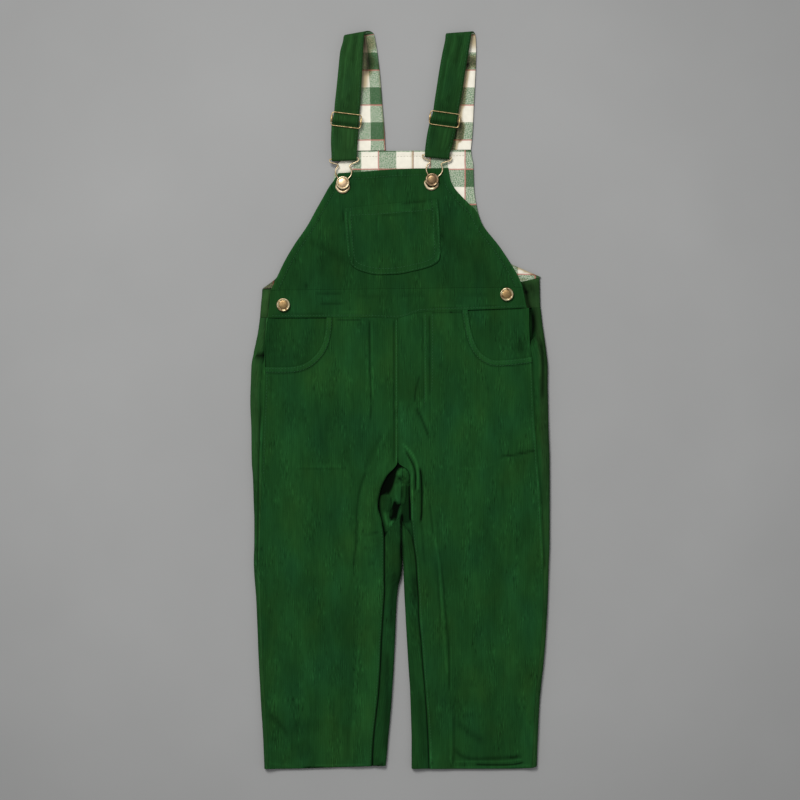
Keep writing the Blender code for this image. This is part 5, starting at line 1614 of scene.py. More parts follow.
def bib_pocket(materials):
    columns, rows = grid_of("bib_pocket")
    x, y, edges = fill(columns, rows, Curve(POCKET_LEFT), Curve(POCKET_RIGHT), Curve(POCKET_BOTTOM),
                       line_through(*POCKET_TOP))
    edge = nearest_edge(edges, (False, False, False, False))
    border, border_tone = hem(np.minimum(edges[0], edges[1]), *POCKET_HEM)
    height, tone = front_relief(x, y, POCKET_CREASES)
    z = bib_height(x, y) + LAYER + height + border
    tone = tone + border_tone + POCKET_TONE
    return cloth("bib_pocket", x, y, stack(x, y, z), edge, tone, CLOTH, 1, True, materials)


POCKET_HEM = (6.3, 0.2, 0.05)
POCKET_TONE = -0.10
# Edges and creases of the bib pocket, with painted light and shade along them
POCKET_CREASES = [
    Crease([(-54.6, 191), (-53.8, 173), (-52.4, 155), (-50.6, 141)], 0.9, 0.2, 0.42),
    Crease([(-49.2, 191), (-49.7, 175), (-47.7, 155), (-45.5, 140)], 0.9, 0.3, 0.36),
    Crease([(-52.0, 190), (-51.8, 175), (-50.2, 155)], 1.0, -0.2, -0.20),
    Crease([(37.2, 192), (38.4, 172), (39.4, 158)], 0.9, 0.2, 0.42),
    Crease([(33.5, 189), (33.6, 170), (33.8, 151)], 0.9, 0.3, 0.34),
    Crease([(35.6, 189), (36, 170), (36.6, 154)], 0.9, -0.2, -0.22),
    Crease([(40.0, 149.5), (37, 141), (30, 135.5)], 0.9, 0.2, 0.38),
    Crease([(-21.5, 185), (-21.6, 175), (-21.5, 164)], 0.9, 0.3, 0.28),
    Crease([(-23, 185), (-23.3, 175), (-23, 166)], 0.9, -0.2, -0.20),
    Crease([(-20, 190), (0, 192), (34, 195.5)], 3.4, 0.3, 0.15),
    Crease([(0, 195.6), (14, 197.2), (28, 198.6)], 0.9, -0.2, -0.34),
    Crease([(31.5, 199), (32, 195), (32.5, 191)], 4.0, 0.4, 0.20),
    Crease([(-21, 186.8), (-8, 187.8), (4, 188.8), (34, 191.4)], 0.9, 0.2, 0.26),
    Crease([(-41, 135.5), (-37, 134.5), (-33, 134)], 2.4, 0.4, 0.20),
    Crease([(-20, 184), (0, 185.6), (12, 186.4)], 1.0, -0.3, -0.24),
    Crease([(-52, 150), (-47, 137), (-38, 131)], 4.5, -0.3, -0.16),
    Crease([(-36, 144), (-28, 136), (-20, 132)], 2.2, 0.3, 0.08),
]


BAND_MIDDLE = 100.0     # the height y at which the folds are taken for the band's whole edges


def back_waistband(materials):
    columns, rows = grid_of("back_waistband")
    radius = (WAIST_FOLD - FLOOR) / 2
    inset = CLOTH / 2 + radius

    def centres(y):
        share = np.clip((BAND_TOP - y) / BAND_WIDTH, -0.5, 1)
        return mix(*BACK_FOLD_LEFT, share) + inset, mix(*BACK_FOLD_RIGHT, share) - inset

    def left(y):
        return centres(y)[0] - math.pi * radius - TAB_LENGTH

    def right(y):
        return centres(y)[1] + math.pi * radius + TAB_LENGTH

    def folded(u, y):
        start, end = centres(y)
        left_x, left_up, left_turned = round_edge(u, start, radius, -1)
        right_x, right_up, right_turned = round_edge(u, end, radius, 1)
        x = np.where(u < start, left_x, right_x)
        return x, np.maximum(left_up, right_up), np.maximum(left_turned, right_turned)

    def top(u):
        x, _, turned = folded(u, np.full(u.shape, BAND_MIDDLE))
        tab = np.where(u < 0, broken(TAB_TOP_LEFT)(x), broken(TAB_TOP_RIGHT)(x))
        return mix(broken(BACK_WAIST_TOP)(x) - HALF_GAP, tab, turned)

    def low(u):
        x, _, _ = folded(u, np.full(u.shape, BAND_MIDDLE))
        return broken(BACK_WAIST_SEAM)(x) + HALF_GAP

    u, y, edges = fill(columns, rows, left, right, low, top)
    edge = nearest_edge(edges, (False, False, True, True))
    x, up, turned = folded(u, y)
    z = np.where(turned > TURNED, tab_height(x, y), FLOOR + up)
    tinge = TAB_TINGE * smoothstep(*TURN_SEEN, turned)
    tone = relief(INNER_SHADES + TAB_CREASES, x, y)[1]
    return cloth("back_waistband", u, y, stack(x, y, z), edge, tone, CLOTH, -1, True, materials, tinge)


TAB_TINGE = 0.45
# Painted light and shade on the back waistband's turned ends: lighter on the left, darker on the right
TAB_CREASES = [
    Crease([(-129.8, 108), (-130, 100), (-131, 90)], 1.2, 0.0, -0.60),
    Crease([(-134.5, 113), (-135.5, 98), (-137, 80)], 3.2, 0.0, 0.34),
    Crease([(-133, 114), (-133.2, 106), (-134, 97)], 3.6, 0.0, 0.40),
    Crease([(133, 124), (134, 112), (136, 98)], 7.0, 0.0, -0.40),
    Crease([(122, 110), (128, 109), (134, 111)], 1.3, 0.0, -0.50),
    Crease([(126, 107), (131, 106.5), (135, 108)], 1.0, 0.0, 0.35),
    Crease([(125, 119), (132, 120), (139, 121)], 1.2, 0.0, 0.25),
    Crease([(126, 116), (130, 113), (134, 113)], 1.6, 0.0, -0.25),
]


def back_bib_half(side, side_name, lining, materials):
    """One half of the back bib, or of its lining, up to the centre-back seam."""
    kind = "back_bib_lining" if lining else "back_bib"
    name = kind + "_" + side_name
    columns, rows = grid_of(kind, LINING_COLUMN if lining else COLUMN)
    seam = BACK_SEAM_X + side * HALF_GAP

    def straight(y):
        return np.full(y.shape, seam)

    left = edge_of(BACK_BIB, "left") if side < 0 else straight
    right = straight if side < 0 else edge_of(BACK_BIB, "right")
    low = broken(LINING_LOW) if lining else line_through(*BACK_BIB[-1])
    x, y, edges = fill(columns, rows, left, right, low, line_through(*BACK_BIB[0]))
    edge = nearest_edge(edges, (side > 0, side < 0, True, True))
    if lining:
        height, tone = relief(LINING_CREASES, x, y)
        z = FLOOR + LINING_LAYER + height
        bare = relief(LINING_BARE, x, y)[1]
        return cloth(name, x, y, stack(x, y, z), edge, tone, LINING, 1, False, materials, bare)
    z = np.full(x.shape, FLOOR)
    return cloth(name, x, y, stack(x, y, z), edge, 0.0, CLOTH, -1, True, materials)


# The lining's lower edge, which sags below the seam at its right end
LINING_LOW = [(-137.3, 111.3), (110, 121.4), (116, 117), (122, 117.6), (136, 121.6), (141, 122.7)]
# Creases of the bib's lining, with painted shade along them and at its lower corners
LINING_CREASES = [
    Crease([(-44, 244), (10, 244.5), (68, 245.5)], 0.8, -0.15, -0.10),
    Crease([(12.6, 252), (12.6, 236), (12.6, 222)], 1.2, 0.0, -0.42),
    Crease([(16.5, 252), (16.5, 236), (16.5, 222)], 1.6, 0.25, -0.04),
    Crease([(44, 233), (50, 241), (52, 250)], 3.0, 0.0, -0.18),
    Crease([(110, 136), (122, 130.4), (141, 122.4)], 1.1, 0.0, -0.60),
    Crease([(114, 130), (117, 124), (120, 118)], 3.0, 0.0, -0.30),
    Crease([(118, 120), (123, 120.6), (130, 121.6)], 1.2, 0.0, -0.50),
    Patch([(-138, 109), (-131, 113.6), (-124, 119)], 4.4, 0.0, -0.70),
    Crease([(56, 244), (60, 228), (66, 212)], 3.0, 0.3, 0.0),
    Crease([(-58, 236), (-50, 230), (-40, 228)], 2.5, 0.25, 0.0),
]
# Where the lining's check gives way to plain cream, at the left clip; the tone is how far
LINING_BARE = [Patch([(-62, 234), (-54.5, 233.5)], 7.0, 0.0, 0.92)]


# ---------------------------------------------------------------- straps

def half_turn(start, end, steps, direction):
    """Stations round a turn between two runs of the strap; direction is 1 for +Y, -1 for -Y."""
    radius = abs(end.z - start.z) / 2
    stations = []
    for step in range(1, steps):
        angle = math.pi * step / steps
        share = (1 - math.cos(angle)) / 2
        bulge = direction * radius * math.sin(angle)
        edges = []
        for first, last in ((start.left, end.left), (start.right, end.right)):
            x, y = between(first, last, share)
            edges.append((x, y + bulge))
        stations.append(Station(*edges, mix(start.z, end.z, share)))
    return stations


def at_slider(strap, share, z, inset=0.0):
    """A station at the slider: share 1 is its top bar, 0 its middle bar, -1 its low bar."""
    left = between(strap.bar_low[0], strap.bar_top[0], (share + 1) / 2)
    right = between(strap.bar_low[1], strap.bar_top[1], (share + 1) / 2)
    return Station((left[0] + inset, left[1]), (right[0] - inset, right[1]), z)


def strap_stations(strap):
    """Stations of the whole strip, and how many of them the lining follows."""
    stations = list(strap.lower) + [strap.turn_in]
    stations += half_turn(strap.turn_in, strap.turn_out, TURN_STEPS, 1)
    stations += [strap.turn_out] + list(strap.upper)
    stations += [at_slider(strap, share, z) for share, z in SLIDER_WAVE]
    stations.append(strap.below)
    lined = len(stations)
    tail_start = strap.end._replace(z=TAIL_START)
    stations.append(strap.end)
    stations += half_turn(strap.end, tail_start, BEND_STEPS, -1)
    stations.append(tail_start)
    stations += [at_slider(strap, share, z, TAIL_INSET) for share, z in TAIL_WAVE]
    return stations, lined


def strap_surface(stations, count, across_step):
    """Grid of a strap's first `count` stations: u, v, points, edge distance and its up direction."""
    left = np.array([(*station.left, station.z) for station in stations])
    right = np.array([(*station.right, station.z) for station in stations])
    middle = (left + right) / 2
    lengths = np.concatenate([[0], np.cumsum(np.linalg.norm(np.diff(middle, axis=0), axis=1))])
    stops = []
    for start, end in zip(lengths[:count - 1], lengths[1:count]):
        stops.append(steps_between(start, end, STRAP_ROW)[:-1])
    v = np.concatenate(stops + [[lengths[count - 1]]])
    v = np.sort(np.concatenate([v, v[0] + EDGE_STEPS[1:], v[-1] - EDGE_STEPS[1:]]))
    u = np.arange(0, STRAP_WIDTH, across_step)
    u = u[(u > STRAP_EDGE) & (u < STRAP_WIDTH - STRAP_EDGE)]
    u = np.concatenate([EDGE_STEPS, u, [STRAP_WIDTH - step for step in EDGE_STEPS[::-1]]])
    edges = []
    for side in (left, right):
        edges.append(np.stack([Curve(list(zip(lengths, side[:, axis])))(v) for axis in range(3)], 1))
    U, V = np.meshgrid(u, v)
    share = (U / STRAP_WIDTH)[..., None]
    points = edges[0][:, None] * (1 - share) + edges[1][:, None] * share
    across = np.gradient(points, axis=1)
    along = np.gradient(points, axis=0)
    up = np.cross(across, along)
    up /= np.linalg.norm(up, axis=2, keepdims=True)
    edge = np.minimum(np.minimum(U, STRAP_WIDTH - U), np.minimum(V - v[0], v[-1] - V))
    return U, V, points, Rim(edge, 0.0), up


def strap_pieces(name, strap, materials, lining_materials):
    """The strap, its lining, and the rows of stitches on the run that faces up."""
    stations, lined = strap_stations(strap)
    u, v, points, edge, up = strap_surface(stations, len(stations), COLUMN)
    tone = STRAP_TONE[name] + relief(STRAP_CREASES, u, v)[1]
    strip = cloth("strap_" + name, u, v, points, edge, tone, CLOTH, -1, True, materials,
                  STRAP_TINGE[name])
    rows = []
    for inset in (STRAP_INSET, STRAP_WIDTH - STRAP_INSET):
        column = np.abs(u[0] - inset).argmin()
        faces_up = up[:, column, 2] < STITCHED_BELOW
        normals = -up[faces_up, column]
        rows.append((points[faces_up, column] + normals * (CLOTH / 2), normals))
    u, v, points, edge, up = strap_surface(stations, lined, STRAP_LINING_COLUMN)
    points = points + up * LINING_LAYER
    tone = relief(STRAP_SHADES[name], u, v)[1]
    lining = cloth("strap_lining_" + name, u, v, points, edge, tone, LINING, 1, False,
                   lining_materials)
    return strip, lining, rows


STRAP_ROW = 2.4         # from one row of points to the next along a strap
STRAP_EDGE = 1.0        # the even columns begin so far in from its edges,
STRAP_LINING_COLUMN = 1.5       # and lie so far apart on its lining
STRAP_INSET = 2.3       # from the strap's edges to their rows of stitches
STITCHED_BELOW = -0.3   # stitches show where the inside's normal points down more than this
STRAP_TONE = {"left": 0.03, "right": -0.14}
STRAP_TINGE = {"left": 0.26, "right": 0.12}
# Painted light along each strap's left edge and painted shade along its right edge, and painted light
# and shade on the creases of the run that faces up
STRAP_CREASES = [
    Crease([(1.2, 112), (1.2, 160), (1.2, 240)], 0.9, 0.0, 0.24),
    Crease([(25.8, 112), (25.8, 160), (25.8, 240)], 0.9, 0.0, -0.30),
    Crease([(9, 118), (10, 132), (9.5, 146)], 1.6, 0.0, 0.22),
    Crease([(7.5, 146), (7, 168), (7.2, 192)], 1.0, 0.0, 0.30),
    Crease([(15, 122), (16, 140), (15, 158)], 2.2, 0.0, -0.20),
    Crease([(20, 120), (20.5, 138), (20, 170)], 1.0, 0.0, 0.24),
    Crease([(23, 124), (22.5, 150), (23, 176)], 1.2, 0.0, 0.16),
    Crease([(5, 130), (5.5, 150), (5, 172)], 1.4, 0.0, -0.18),
    Crease([(12, 205), (11, 218), (12, 232)], 1.8, 0.0, 0.16),
    Crease([(17, 220), (17.4, 232), (17, 246)], 1.1, 0.0, 0.34),
    Crease([(20.6, 220), (21, 232), (20.6, 246)], 0.9, 0.0, 0.26),
    Crease([(24.2, 220), (24.4, 232), (24.2, 246)], 1.4, 0.0, -0.26),
    Crease([(6, 222), (6.4, 234), (6, 246)], 2.2, 0.0, -0.14),
]
# Shadow and a brown tinge on the lining, in the loop at the top and along an edge
STRAP_SHADES = {
    "left": [
        Crease([(24, 118), (24, 108), (23, 98)], 5.0, 0.0, -0.40),
        Crease([(14, 124), (16.5, 104), (16, 84), (15, 72)], 4.4, 0.0, -0.86),
        Crease([(22.5, 98), (22, 88), (22, 80)], 5.0, 0.0, -0.28),
        Crease([(13, 86), (12, 74), (9.5, 56)], 3.8, 0.0, -0.52),
        Crease([(26.3, 90), (26.3, 40), (26.3, 2)], 1.0, 0.0, -0.30),
    ],
    "right": [
        Crease([(25, 126), (25, 112), (24.5, 96)], 6.0, 0.0, -0.46),
        Patch([(15.5, 82), (13.5, 64), (12.5, 46)], 6.0, 0.0, -0.50),
        Patch([(10.4, 43), (10, 30)], 6.0, 0.0, -0.46),
        Patch([(13, 23), (12.3, 13)], 6.0, 0.0, -0.74),
        Patch([(8, 8), (7.3, 0)], 6.0, 0.0, -0.52),
        Crease([(23, 98), (23, 88), (23, 79)], 7.4, 0.0, -0.78),
        Crease([(26.3, 90), (26.3, 40), (26.3, 2)], 0.9, 0.0, -0.16),
    ],
}


# ---------------------------------------------------------------- metal fittings

WIRE_SIDES = 12


def sweep(path, radii, closed=False):
    """A wire along a path of 3-D points: one radius, or each point's radii across and up."""
    path = np.array(path, dtype=float)
    count = len(path)
    if closed:
        ahead = np.roll(path, -1, axis=0) - np.roll(path, 1, axis=0)
    else:
        ahead = np.gradient(path, axis=0)
    ahead /= np.linalg.norm(ahead, axis=1, keepdims=True)
    up = np.zeros_like(path)
    up[:, 2] = 1.0
    across = np.cross(ahead, up)
    across /= np.linalg.norm(across, axis=1, keepdims=True)
    up = np.cross(across, ahead)
    radii = np.broadcast_to(radii, (count, 2))
    angles = np.arange(WIRE_SIDES) * 2 * math.pi / WIRE_SIDES
    rings = (path[:, None] + across[:, None] * (radii[:, :1] * np.cos(angles))[..., None]
             + up[:, None] * (radii[:, 1:] * np.sin(angles))[..., None])
    ends = np.arange(count * WIRE_SIDES).reshape(count, WIRE_SIDES).tolist()
    faces = []
    for ring, after in zip(ends, ends[1:] + ends[:1] if closed else ends[1:]):
        for k in range(WIRE_SIDES):
            m = (k + 1) % WIRE_SIDES
            faces.append((ring[k], ring[m], after[m], after[k]))
    if not closed:
        faces += [ends[0][::-1], ends[-1]]
    return rings.reshape(-1, 3), faces


def merged(parts):
    vertices = []
    faces = []
    offset = 0
    for points, polygons in parts:
        vertices.append(np.asarray(points))
        faces += [tuple(index + offset for index in polygon) for polygon in polygons]
        offset += len(points)
    return np.concatenate(vertices), faces


def metal_piece(name, parts, material, place, angle):
    """Some parts in one mesh, turned about Z and put in its place."""
    vertices, faces = merged(parts)
    turn = math.radians(angle)
    x = vertices[:, 0] * math.cos(turn) - vertices[:, 1] * math.sin(turn)
    y = vertices[:, 0] * math.sin(turn) + vertices[:, 1] * math.cos(turn)
    return add_mesh(name + LOOK, stack(x, y, vertices[:, 2]) + place, faces, [material])


SLIDER_STEPS = 8        # in each round corner, and along the middle bar
# Along the sleeve round each side of a slide: the place y, and the radius there
SLEEVE = [(-3.6, 0.65), (-3.2, 0.95), (0.0, 1.0), (3.2, 0.95), (3.6, 0.65)]


def slider(name, place, angle, material):
    half_width, half_height = SLIDER_HALF
    outline = []
    for corner, (sx, sy) in enumerate(((1, 1), (-1, 1), (-1, -1), (1, -1))):
        for step in range(SLIDER_STEPS + 1):
            turn = math.radians(90 * (corner + step / SLIDER_STEPS))
            x = sx * (half_width - SLIDER_CORNER) + SLIDER_CORNER * math.cos(turn)
            y = sy * (half_height - SLIDER_CORNER) + SLIDER_CORNER * math.sin(turn)
            outline.append((x, y, 0.0))
    bar = [(x, 0.0, 0.0) for x in np.linspace(-half_width, half_width, SLIDER_STEPS + 1)]
    parts = [sweep(outline, SLIDER_WIRE / 2, closed=True), sweep(bar, SLIDER_BAR / 2)]
    for side in (-1, 1):
        sleeve = [(side * half_width, y, 0.0) for y, _ in SLEEVE]
        parts.append(sweep(sleeve, [[radius] for _, radius in SLEEVE]))
    return metal_piece("slider_" + name, parts, material, (*place, SLIDER_Z), angle)


CLIP_STEP = 0.8
PRESSED_ZONE = (-2.0, -7.0)     # the heights y over which a clip's wire becomes flat


def clip_outline():
    left = [(-x, y) for x, y in reversed(CLIP_HALF[1:])]
    skewed = []
    for x, y in CLIP_HALF + [CLIP_BOTTOM] + left:
        skewed.append((x, y + x * math.tan(CLIP_SKEW) * float(smoothstep(*SKEW_ZONE, y))))
    return smooth_closed(skewed, CLIP_STEP)


def clip(name, place, angle, material):
    outline = clip_outline()
    low = smoothstep(*PRESSED_ZONE, outline[:, 1])
    radii = np.stack([mix(CLIP_WIRE / 2, CLIP_PRESSED[i], low) for i in range(2)], 1)
    path = np.column_stack([outline, np.zeros(len(outline))])
    return metal_piece("clip_" + name, [sweep(path, radii, closed=True)], material,
                       (*place, CLIP_Z), angle)


def button(name, place, shank, scale, rim, face):
    """A domed head with a raised rim on its shank, turned about Z."""
    profile = [(r * scale, h + shank) for r, h in BUTTON_PROFILE] + [(SHANK, 0.0), (0.0, 0.0)]
    angles = np.arange(BUTTON_STEPS) * 2 * math.pi / BUTTON_STEPS
    vertices = [(0.0, 0.0, profile[0][1])]
    for radius, height in profile[1:-1]:
        vertices += [(radius * math.cos(turn), radius * math.sin(turn), height) for turn in angles]
    vertices.append((0.0, 0.0, 0.0))
    faces = []
    slots = []
    rings = len(profile) - 2
    for k in range(BUTTON_STEPS):
        m = (k + 1) % BUTTON_STEPS
        faces.append((0, 1 + k, 1 + m))
        slots.append(1)
        for ring in range(rings - 1):
            a = 1 + ring * BUTTON_STEPS
            b = a + BUTTON_STEPS
            faces.append((a + k, b + k, b + m, a + m))
            slots.append(1 if ring < DOME_RINGS else 0)
        last = 1 + (rings - 1) * BUTTON_STEPS
        faces.append((last + k, len(vertices) - 1, last + m))
        slots.append(0)
    points = np.array(vertices) + (*place, BUTTON_BASE)
    return add_mesh(name + LOOK, points, faces, [rim, face], slots)


# ---------------------------------------------------------------- stitches

STITCH = 2.3            # the length of one stitch
STITCH_PITCH = 3.1      # from the start of one to the start of the next
STITCH_START = 0.4      # where the first begins
STITCH_RADIUS = 0.27
STITCH_SIDES = 6
# Along one stitch: share of its length, share of its radius, and how far it stands out
STITCH_PROFILE = [(0.0, 0.0, -0.25), (0.12, 0.75, 0.05), (0.5, 1.0, 0.16), (0.88, 0.75, 0.05),
                  (1.0, 0.0, -0.25)]


def stitches(name, rows, material):
    """One object of the small round-ended stitches along some rows of (points, normals)."""
    shares, radii, rises = np.array(STITCH_PROFILE).T
    turns = np.arange(STITCH_SIDES) * 2 * math.pi / STITCH_SIDES
    blocks = []
    for points, normals in rows:
        runs = np.linalg.norm(np.diff(points, axis=0), axis=1)
        distance = np.concatenate([[0], np.cumsum(runs)])
        starts = np.arange(STITCH_START, distance[-1] - STITCH, STITCH_PITCH)
        places = starts[:, None] + STITCH * shares
        spots, up = (np.stack([np.interp(places, distance, values[:, i]) for i in range(3)], -1)
                     for values in (points, normals))
        spots = spots + up * rises[:, None]
        across = np.cross(spots[:, -1:] - spots[:, :1], up)
        across /= np.linalg.norm(across, axis=2, keepdims=True)
        circles = (across[:, 1:-1, None] * np.cos(turns)[:, None]
                   + up[:, 1:-1, None] * np.sin(turns)[:, None])
        rings = spots[:, 1:-1, None] + STITCH_RADIUS * radii[1:-1, None, None] * circles
        rings = rings.reshape(len(starts), -1, 3)
        blocks.append(np.concatenate([spots[:, :1], rings, spots[:, -1:]], 1))
    blocks = np.concatenate(blocks)
    faces = []
    last_ring = len(STITCH_PROFILE) - 3
    for k in range(STITCH_SIDES):
        m = (k + 1) % STITCH_SIDES
        faces.append((0, 1 + m, 1 + k))
        for ring in range(last_ring):
            a = 1 + ring * STITCH_SIDES
            b = a + STITCH_SIDES
            faces.append((a + k, a + m, b + m, b + k))
        a = 1 + last_ring * STITCH_SIDES
        faces.append((a + k, a + m, blocks.shape[1] - 1))
    polygons = []
    for i in range(len(blocks)):
        offset = i * blocks.shape[1]
        polygons += [tuple(corner + offset for corner in face) for face in faces]
    return add_mesh(name, blocks.reshape(-1, 3), polygons, [material])


def beside(path, distance):
    """A path moved sideways, to the left of its direction where distance is above 0."""
    line = smooth_path(path)
    ahead = np.gradient(line, axis=0)
    ahead /= np.linalg.norm(ahead, axis=1, keepdims=True)
    return line + distance * np.stack([-ahead[:, 1], ahead[:, 0]], 1)


def lay(path, surface):
    """A row of points along a path on surface(x, y), with their normals."""
    x, y = smooth_path(path, SEWN_STEP).T
    return stack(x, y, surface(x, y)), np.tile((0.0, 0.0, 1.0), (len(x), 1))


def on_front(base, creases=(), lift=0.0):
    """The upper side of a front piece whose middle thickness lies at base(x, y) but for creases."""
    return lambda x, y: base(x, y) + lift + front_relief(x, y, creases)[0] + CLOTH / 2


def on_lining(x, y):
    return FLOOR + LINING_LAYER + relief(LINING_CREASES, x, y)[0] + LINING / 2


def bib_rows():
    left = [row.left for row in FRONT_BIB]
    right = [row.right for row in FRONT_BIB]
    rows = [beside(left[1:], BORDER), beside(right[1:], -BORDER), beside(BIB_TOP, -BORDER)]
    return [lay(row, on_front(bib_height, BIB_CREASES)) for row in rows]


def pocket_rows():
    left = [(x, y) for y, x in POCKET_LEFT]
    right = [(x, y) for y, x in POCKET_RIGHT[::-1]]
    outline = left + POCKET_BOTTOM[1:-1] + right
    rows = [beside(outline, inset) for inset in POCKET_ROWS] + [POCKET_TOP_ROW]
    return [lay(row, on_front(bib_height, POCKET_CREASES, LAYER)) for row in rows]


def leg_rows(leg):
    def height(x, y):
        return leg.height(leg.side * x, y)

    surface = on_front(height)
    scoop = [(leg.side * out, y) for out, y in leg.scoop]
    rows = [lay(beside(scoop, leg.side * inset), on_front(height, lift=SCOOP_LIFT))
            for inset in SCOOP_ROWS]
    for line, inset, (start, end) in LEG_SEAM_ROWS[leg.name]:
        y = np.linspace(start, end, SEAM_POINTS)
        out = getattr(leg, line)(y) + inset
        rows.append(lay(list(zip(leg.side * out, y)), surface))
    return rows + [lay(row, surface) for row in FLY_ROWS[leg.name]]


SEWN_STEP = 0.8         # from point to point along a row
SEAM_POINTS = 60        # along a row that follows a line of the leg
BORDER = 6.6            # from the bib's edges to their row of stitches
POCKET_ROWS = (1.6, 6.2)        # from the pocket's outline to its two rows
SCOOP_ROWS = (1.4, 5.0)         # and from the scoop's edge to its own
POCKET_TOP_ROW = [(-48, 184.2), (-20, 185.6), (0, 187.3), (14, 188.2), (32, 190.2)]
BAND_ROW = [(-128, 84.2), (-40, 84.6), (-2.5, 83.7), (15.5, 88.7), (30.5, 90.6), (126, 94.0)]
LINING_ROW = [(-50, 243.2), (8, 243.6), (69, 244.3)]
# Along a line of the leg, how far out from it, and from where to where
LEG_SEAM_ROWS = {
    "left": [("seam", -1.8, (28.0, -75.0)), ("inseam", 1.9, (-128.0, -362.0))],
    "right": [("seam", -1.8, (36.0, -175.0)), ("inseam", 2.1, (-100.0, -364.0))],
}
FLY_ROWS = {
    "left": [[(-3.5, 80), (-3.5, 0), (-3.5, -60)]],
    "right": [[(25.2, 86), (25.2, 20), (24.4, -6)], [(32.4, 86), (32.4, 30), (31.6, 8)]],
}


# ---------------------------------------------------------------- stage

# The places are in metres.
KEY = (-0.8, 1.45, 2.45)        # the lamp; it looks at the middle of the garment
KEY_SIZE = 1.2
KEY_POWER = 66.5
KEY_COLOUR = (1.0, 0.99, 0.975)
SKY_COLOUR = (0.98, 0.99, 1.0, 1.0)
SKY_STRENGTH = 0.38
FLOOR_HALF = 3.0
FLOOR_DROP = 0.0002     # the floor lies so far below the frame's own
CAMERA_HEIGHT = 2.4
LENS = 108.0            # from this height the picture is 0.8 m wide
SENSOR = 36.0


def studio():
    light = bpy.data.lights.new("key", "AREA")
    light.shape = "DISK"
    light.size = KEY_SIZE
    light.energy = KEY_POWER
    light.color = KEY_COLOUR
    lamp = add_object("key", light)
    lamp.location = KEY
    lamp.rotation_euler = (math.atan2(math.hypot(KEY[0], KEY[1]), KEY[2]), 0.0,
                           math.atan2(-KEY[0], KEY[1]) + math.pi)
    world = bpy.data.worlds.new("studio")
    world.use_nodes = True
    background = world.node_tree.nodes["Background"]
    background.inputs["Color"].default_value = SKY_COLOUR
    background.inputs["Strength"].default_value = SKY_STRENGTH
    bpy.context.scene.world = world

    half = FLOOR_HALF / MM
    corners = [(-half, -half, 0), (half, -half, 0), (half, half, 0), (-half, half, 0)]
    paper = add_mesh("floor", corners, [(0, 1, 2, 3)], [floor_paper()])
    paper.location.z = -FLOOR_DROP
    paper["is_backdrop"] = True

    camera = bpy.data.cameras.new("camera")
    camera.lens = LENS
    camera.sensor_width = SENSOR
    eye = add_object("camera", camera)
    eye.location = (0.0, 0.0, CAMERA_HEIGHT)
    bpy.context.scene.camera = eye
    bpy.context.scene.view_settings.view_transform = "Standard"


# ---------------------------------------------------------------- putting it together

# Where a green band of each check starts across and along, how far from there its thin lines lie, and
# how far it leans
BIB_CHECKS = {"left": (-21.5, 212.5, 0.0, 18.0), "right": (65.0, 212.5, 0.0, 18.0)}
STRAP_CHECKS = {"left": (13.2, 10.6, 13.3, 0.0, 0.04), "right": (-6.0, 9.9, 0.0, 0.0)}
THREAD_GREEN = (0.019, 0.086, 0.028)
THREAD_CREAM = (0.62, 0.60, 0.50)

# How each piece of cloth is held, and what it lies on
LAID = {
    "back_leg_left": ("folded", ["floor"]),
    "back_leg_right": ("folded", ["floor"]),
    "front_leg_left": ("laid", ["back_leg_left_look"]),
    "front_leg_right": ("laid", ["back_leg_right_look"]),
    "pocket_facing_left": ("laid", ["back_leg_left_look"]),
    "pocket_facing_right": ("laid", ["back_leg_right_look"]),
    "back_waistband": ("folded", ["floor"]),
    "front_waistband": ("laid", ["back_waistband_look"]),
    "front_bib": ("laid", ["back_bib_lining_left_look", "back_bib_lining_right_look"]),
    "bib_pocket": ("laid", ["front_bib_look"]),
    "back_bib_left": ("laid", ["floor"]),
    "back_bib_right": ("laid", ["floor"]),
    "back_bib_lining_left": ("laid", ["back_bib_left_look"]),
    "back_bib_lining_right": ("laid", ["back_bib_right_look"]),
    "strap_left": ("folded", ["floor", "slider_left_look"]),
    "strap_right": ("folded", ["floor", "slider_right_look"]),
    "strap_lining_left": ("folded", ["strap_left_look"]),
    "strap_lining_right": ("folded", ["strap_right_look"]),
}


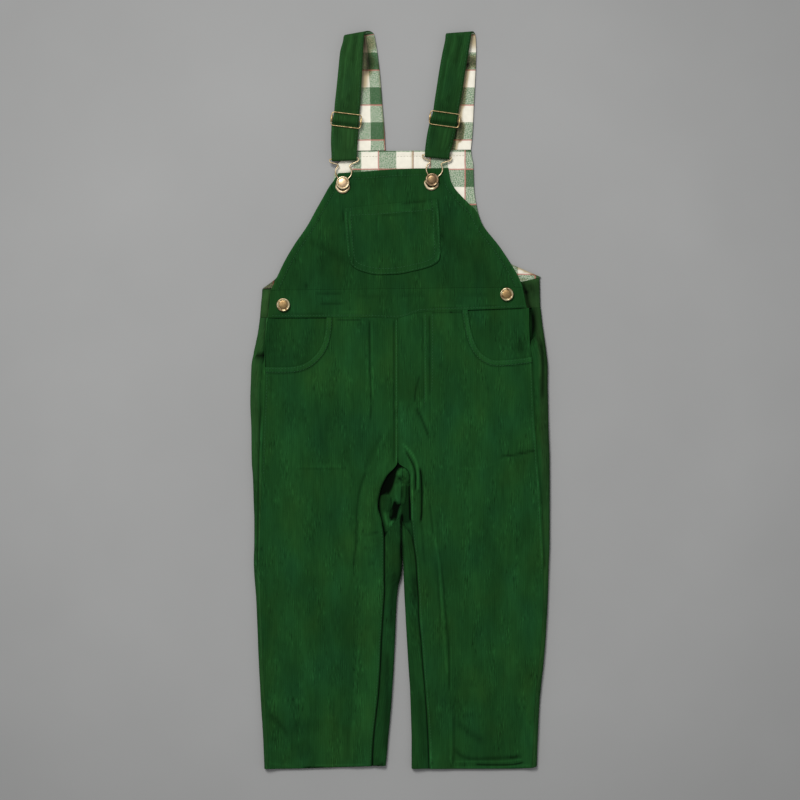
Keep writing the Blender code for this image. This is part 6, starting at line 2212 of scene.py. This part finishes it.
def main():
    for thing in list(bpy.data.objects):
        bpy.data.objects.remove(thing)
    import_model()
    cad_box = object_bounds()

    studio()
    cord = [corduroy("green_corduroy_look", True), corduroy("green_corduroy_back_look", False)]
    bib_check = {name: check("check_lining_" + name, *place) for name, place in BIB_CHECKS.items()}
    strap_check = {name: check("check_strap_" + name, *place) for name, place in STRAP_CHECKS.items()}
    metals = {name: brass("antique_brass_" + name, *colours) for name, colours in BRASS.items()}
    green_thread = thread("thread_green", THREAD_GREEN)
    cream_thread = thread("thread_cream", THREAD_CREAM)

    legs = [Leg("left", -1, LEFT_LEG, LEFT_SCOOP, LEFT_FACING, LEFT_HEM),
            Leg("right", 1, RIGHT_LEG, RIGHT_SCOOP, RIGHT_FACING, RIGHT_HEM)]
    pieces = []
    for leg in legs:
        pieces.append(back_leg(leg, cord))
        pieces.append(front_leg(leg, cord))
        pieces.append(pocket_facing(leg, cord))
    pieces.append(back_waistband(cord))
    pieces.append(front_waistband(cord))
    pieces.append(front_bib(cord))
    pieces.append(bib_pocket(cord))
    for name, side in (("left", -1), ("right", 1)):
        pieces.append(back_bib_half(side, name, False, cord))
        pieces.append(back_bib_half(side, name, True, [bib_check[name]] * 2))
    band_row = lay(BAND_ROW, on_front(waist_height, BAND_CREASES))
    lining_row = lay(LINING_ROW, on_lining)
    sewing = {
        "front_bib": stitches("bib_stitches", bib_rows(), green_thread),
        "bib_pocket": stitches("pocket_stitches", pocket_rows(), green_thread),
        "front_waistband": stitches("waistband_stitches", [band_row], green_thread),
        "back_bib_lining_left": stitches("lining_stitches", [lining_row], cream_thread),
    }
    for leg in legs:
        rows = stitches("leg_stitches_" + leg.name, leg_rows(leg), green_thread)
        sewing["front_leg_" + leg.name] = rows
    for name, strap in (("left", STRAP_LEFT), ("right", STRAP_RIGHT)):
        strip, lined, rows = strap_pieces(name, strap, cord, [strap_check[name]] * 2)
        pieces += [strip, lined]
        sewing["strap_" + name] = stitches("strap_stitches_" + name, rows, green_thread)

    metal = []
    for name in ("left", "right"):
        metal.append(slider(name, *SLIDER_PLACES[name], metals["wire"]))
        metal.append(clip(name, *CLIP_PLACES[name], metals["clip"]))
    for name, made in BUTTONS.items():
        metal.append(button(name, made.place, made.shank, made.scale, metals[made.rim],
                            metals[made.face]))

    for piece in pieces + metal:
        node = piece.name.removesuffix(LOOK)
        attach(piece, "root")
        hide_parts(node)
        if piece in metal:
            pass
        elif "lining" in node:
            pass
        else:
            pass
    for node, piece in sewing.items():
        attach(piece, "root")
        "check_lining" if "lining" in node else "green_corduroy"
    for piece in pieces:
        node = piece.name.removesuffix(LOOK)
        width, length, area = CUTS[node]
        held, under = LAID[node]
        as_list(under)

    sizes = {"cad": cad_box, "visual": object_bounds()}
    plain = {name: np.array([list(corner) for corner in box]).tolist() for name, box in sizes.items()}


main()
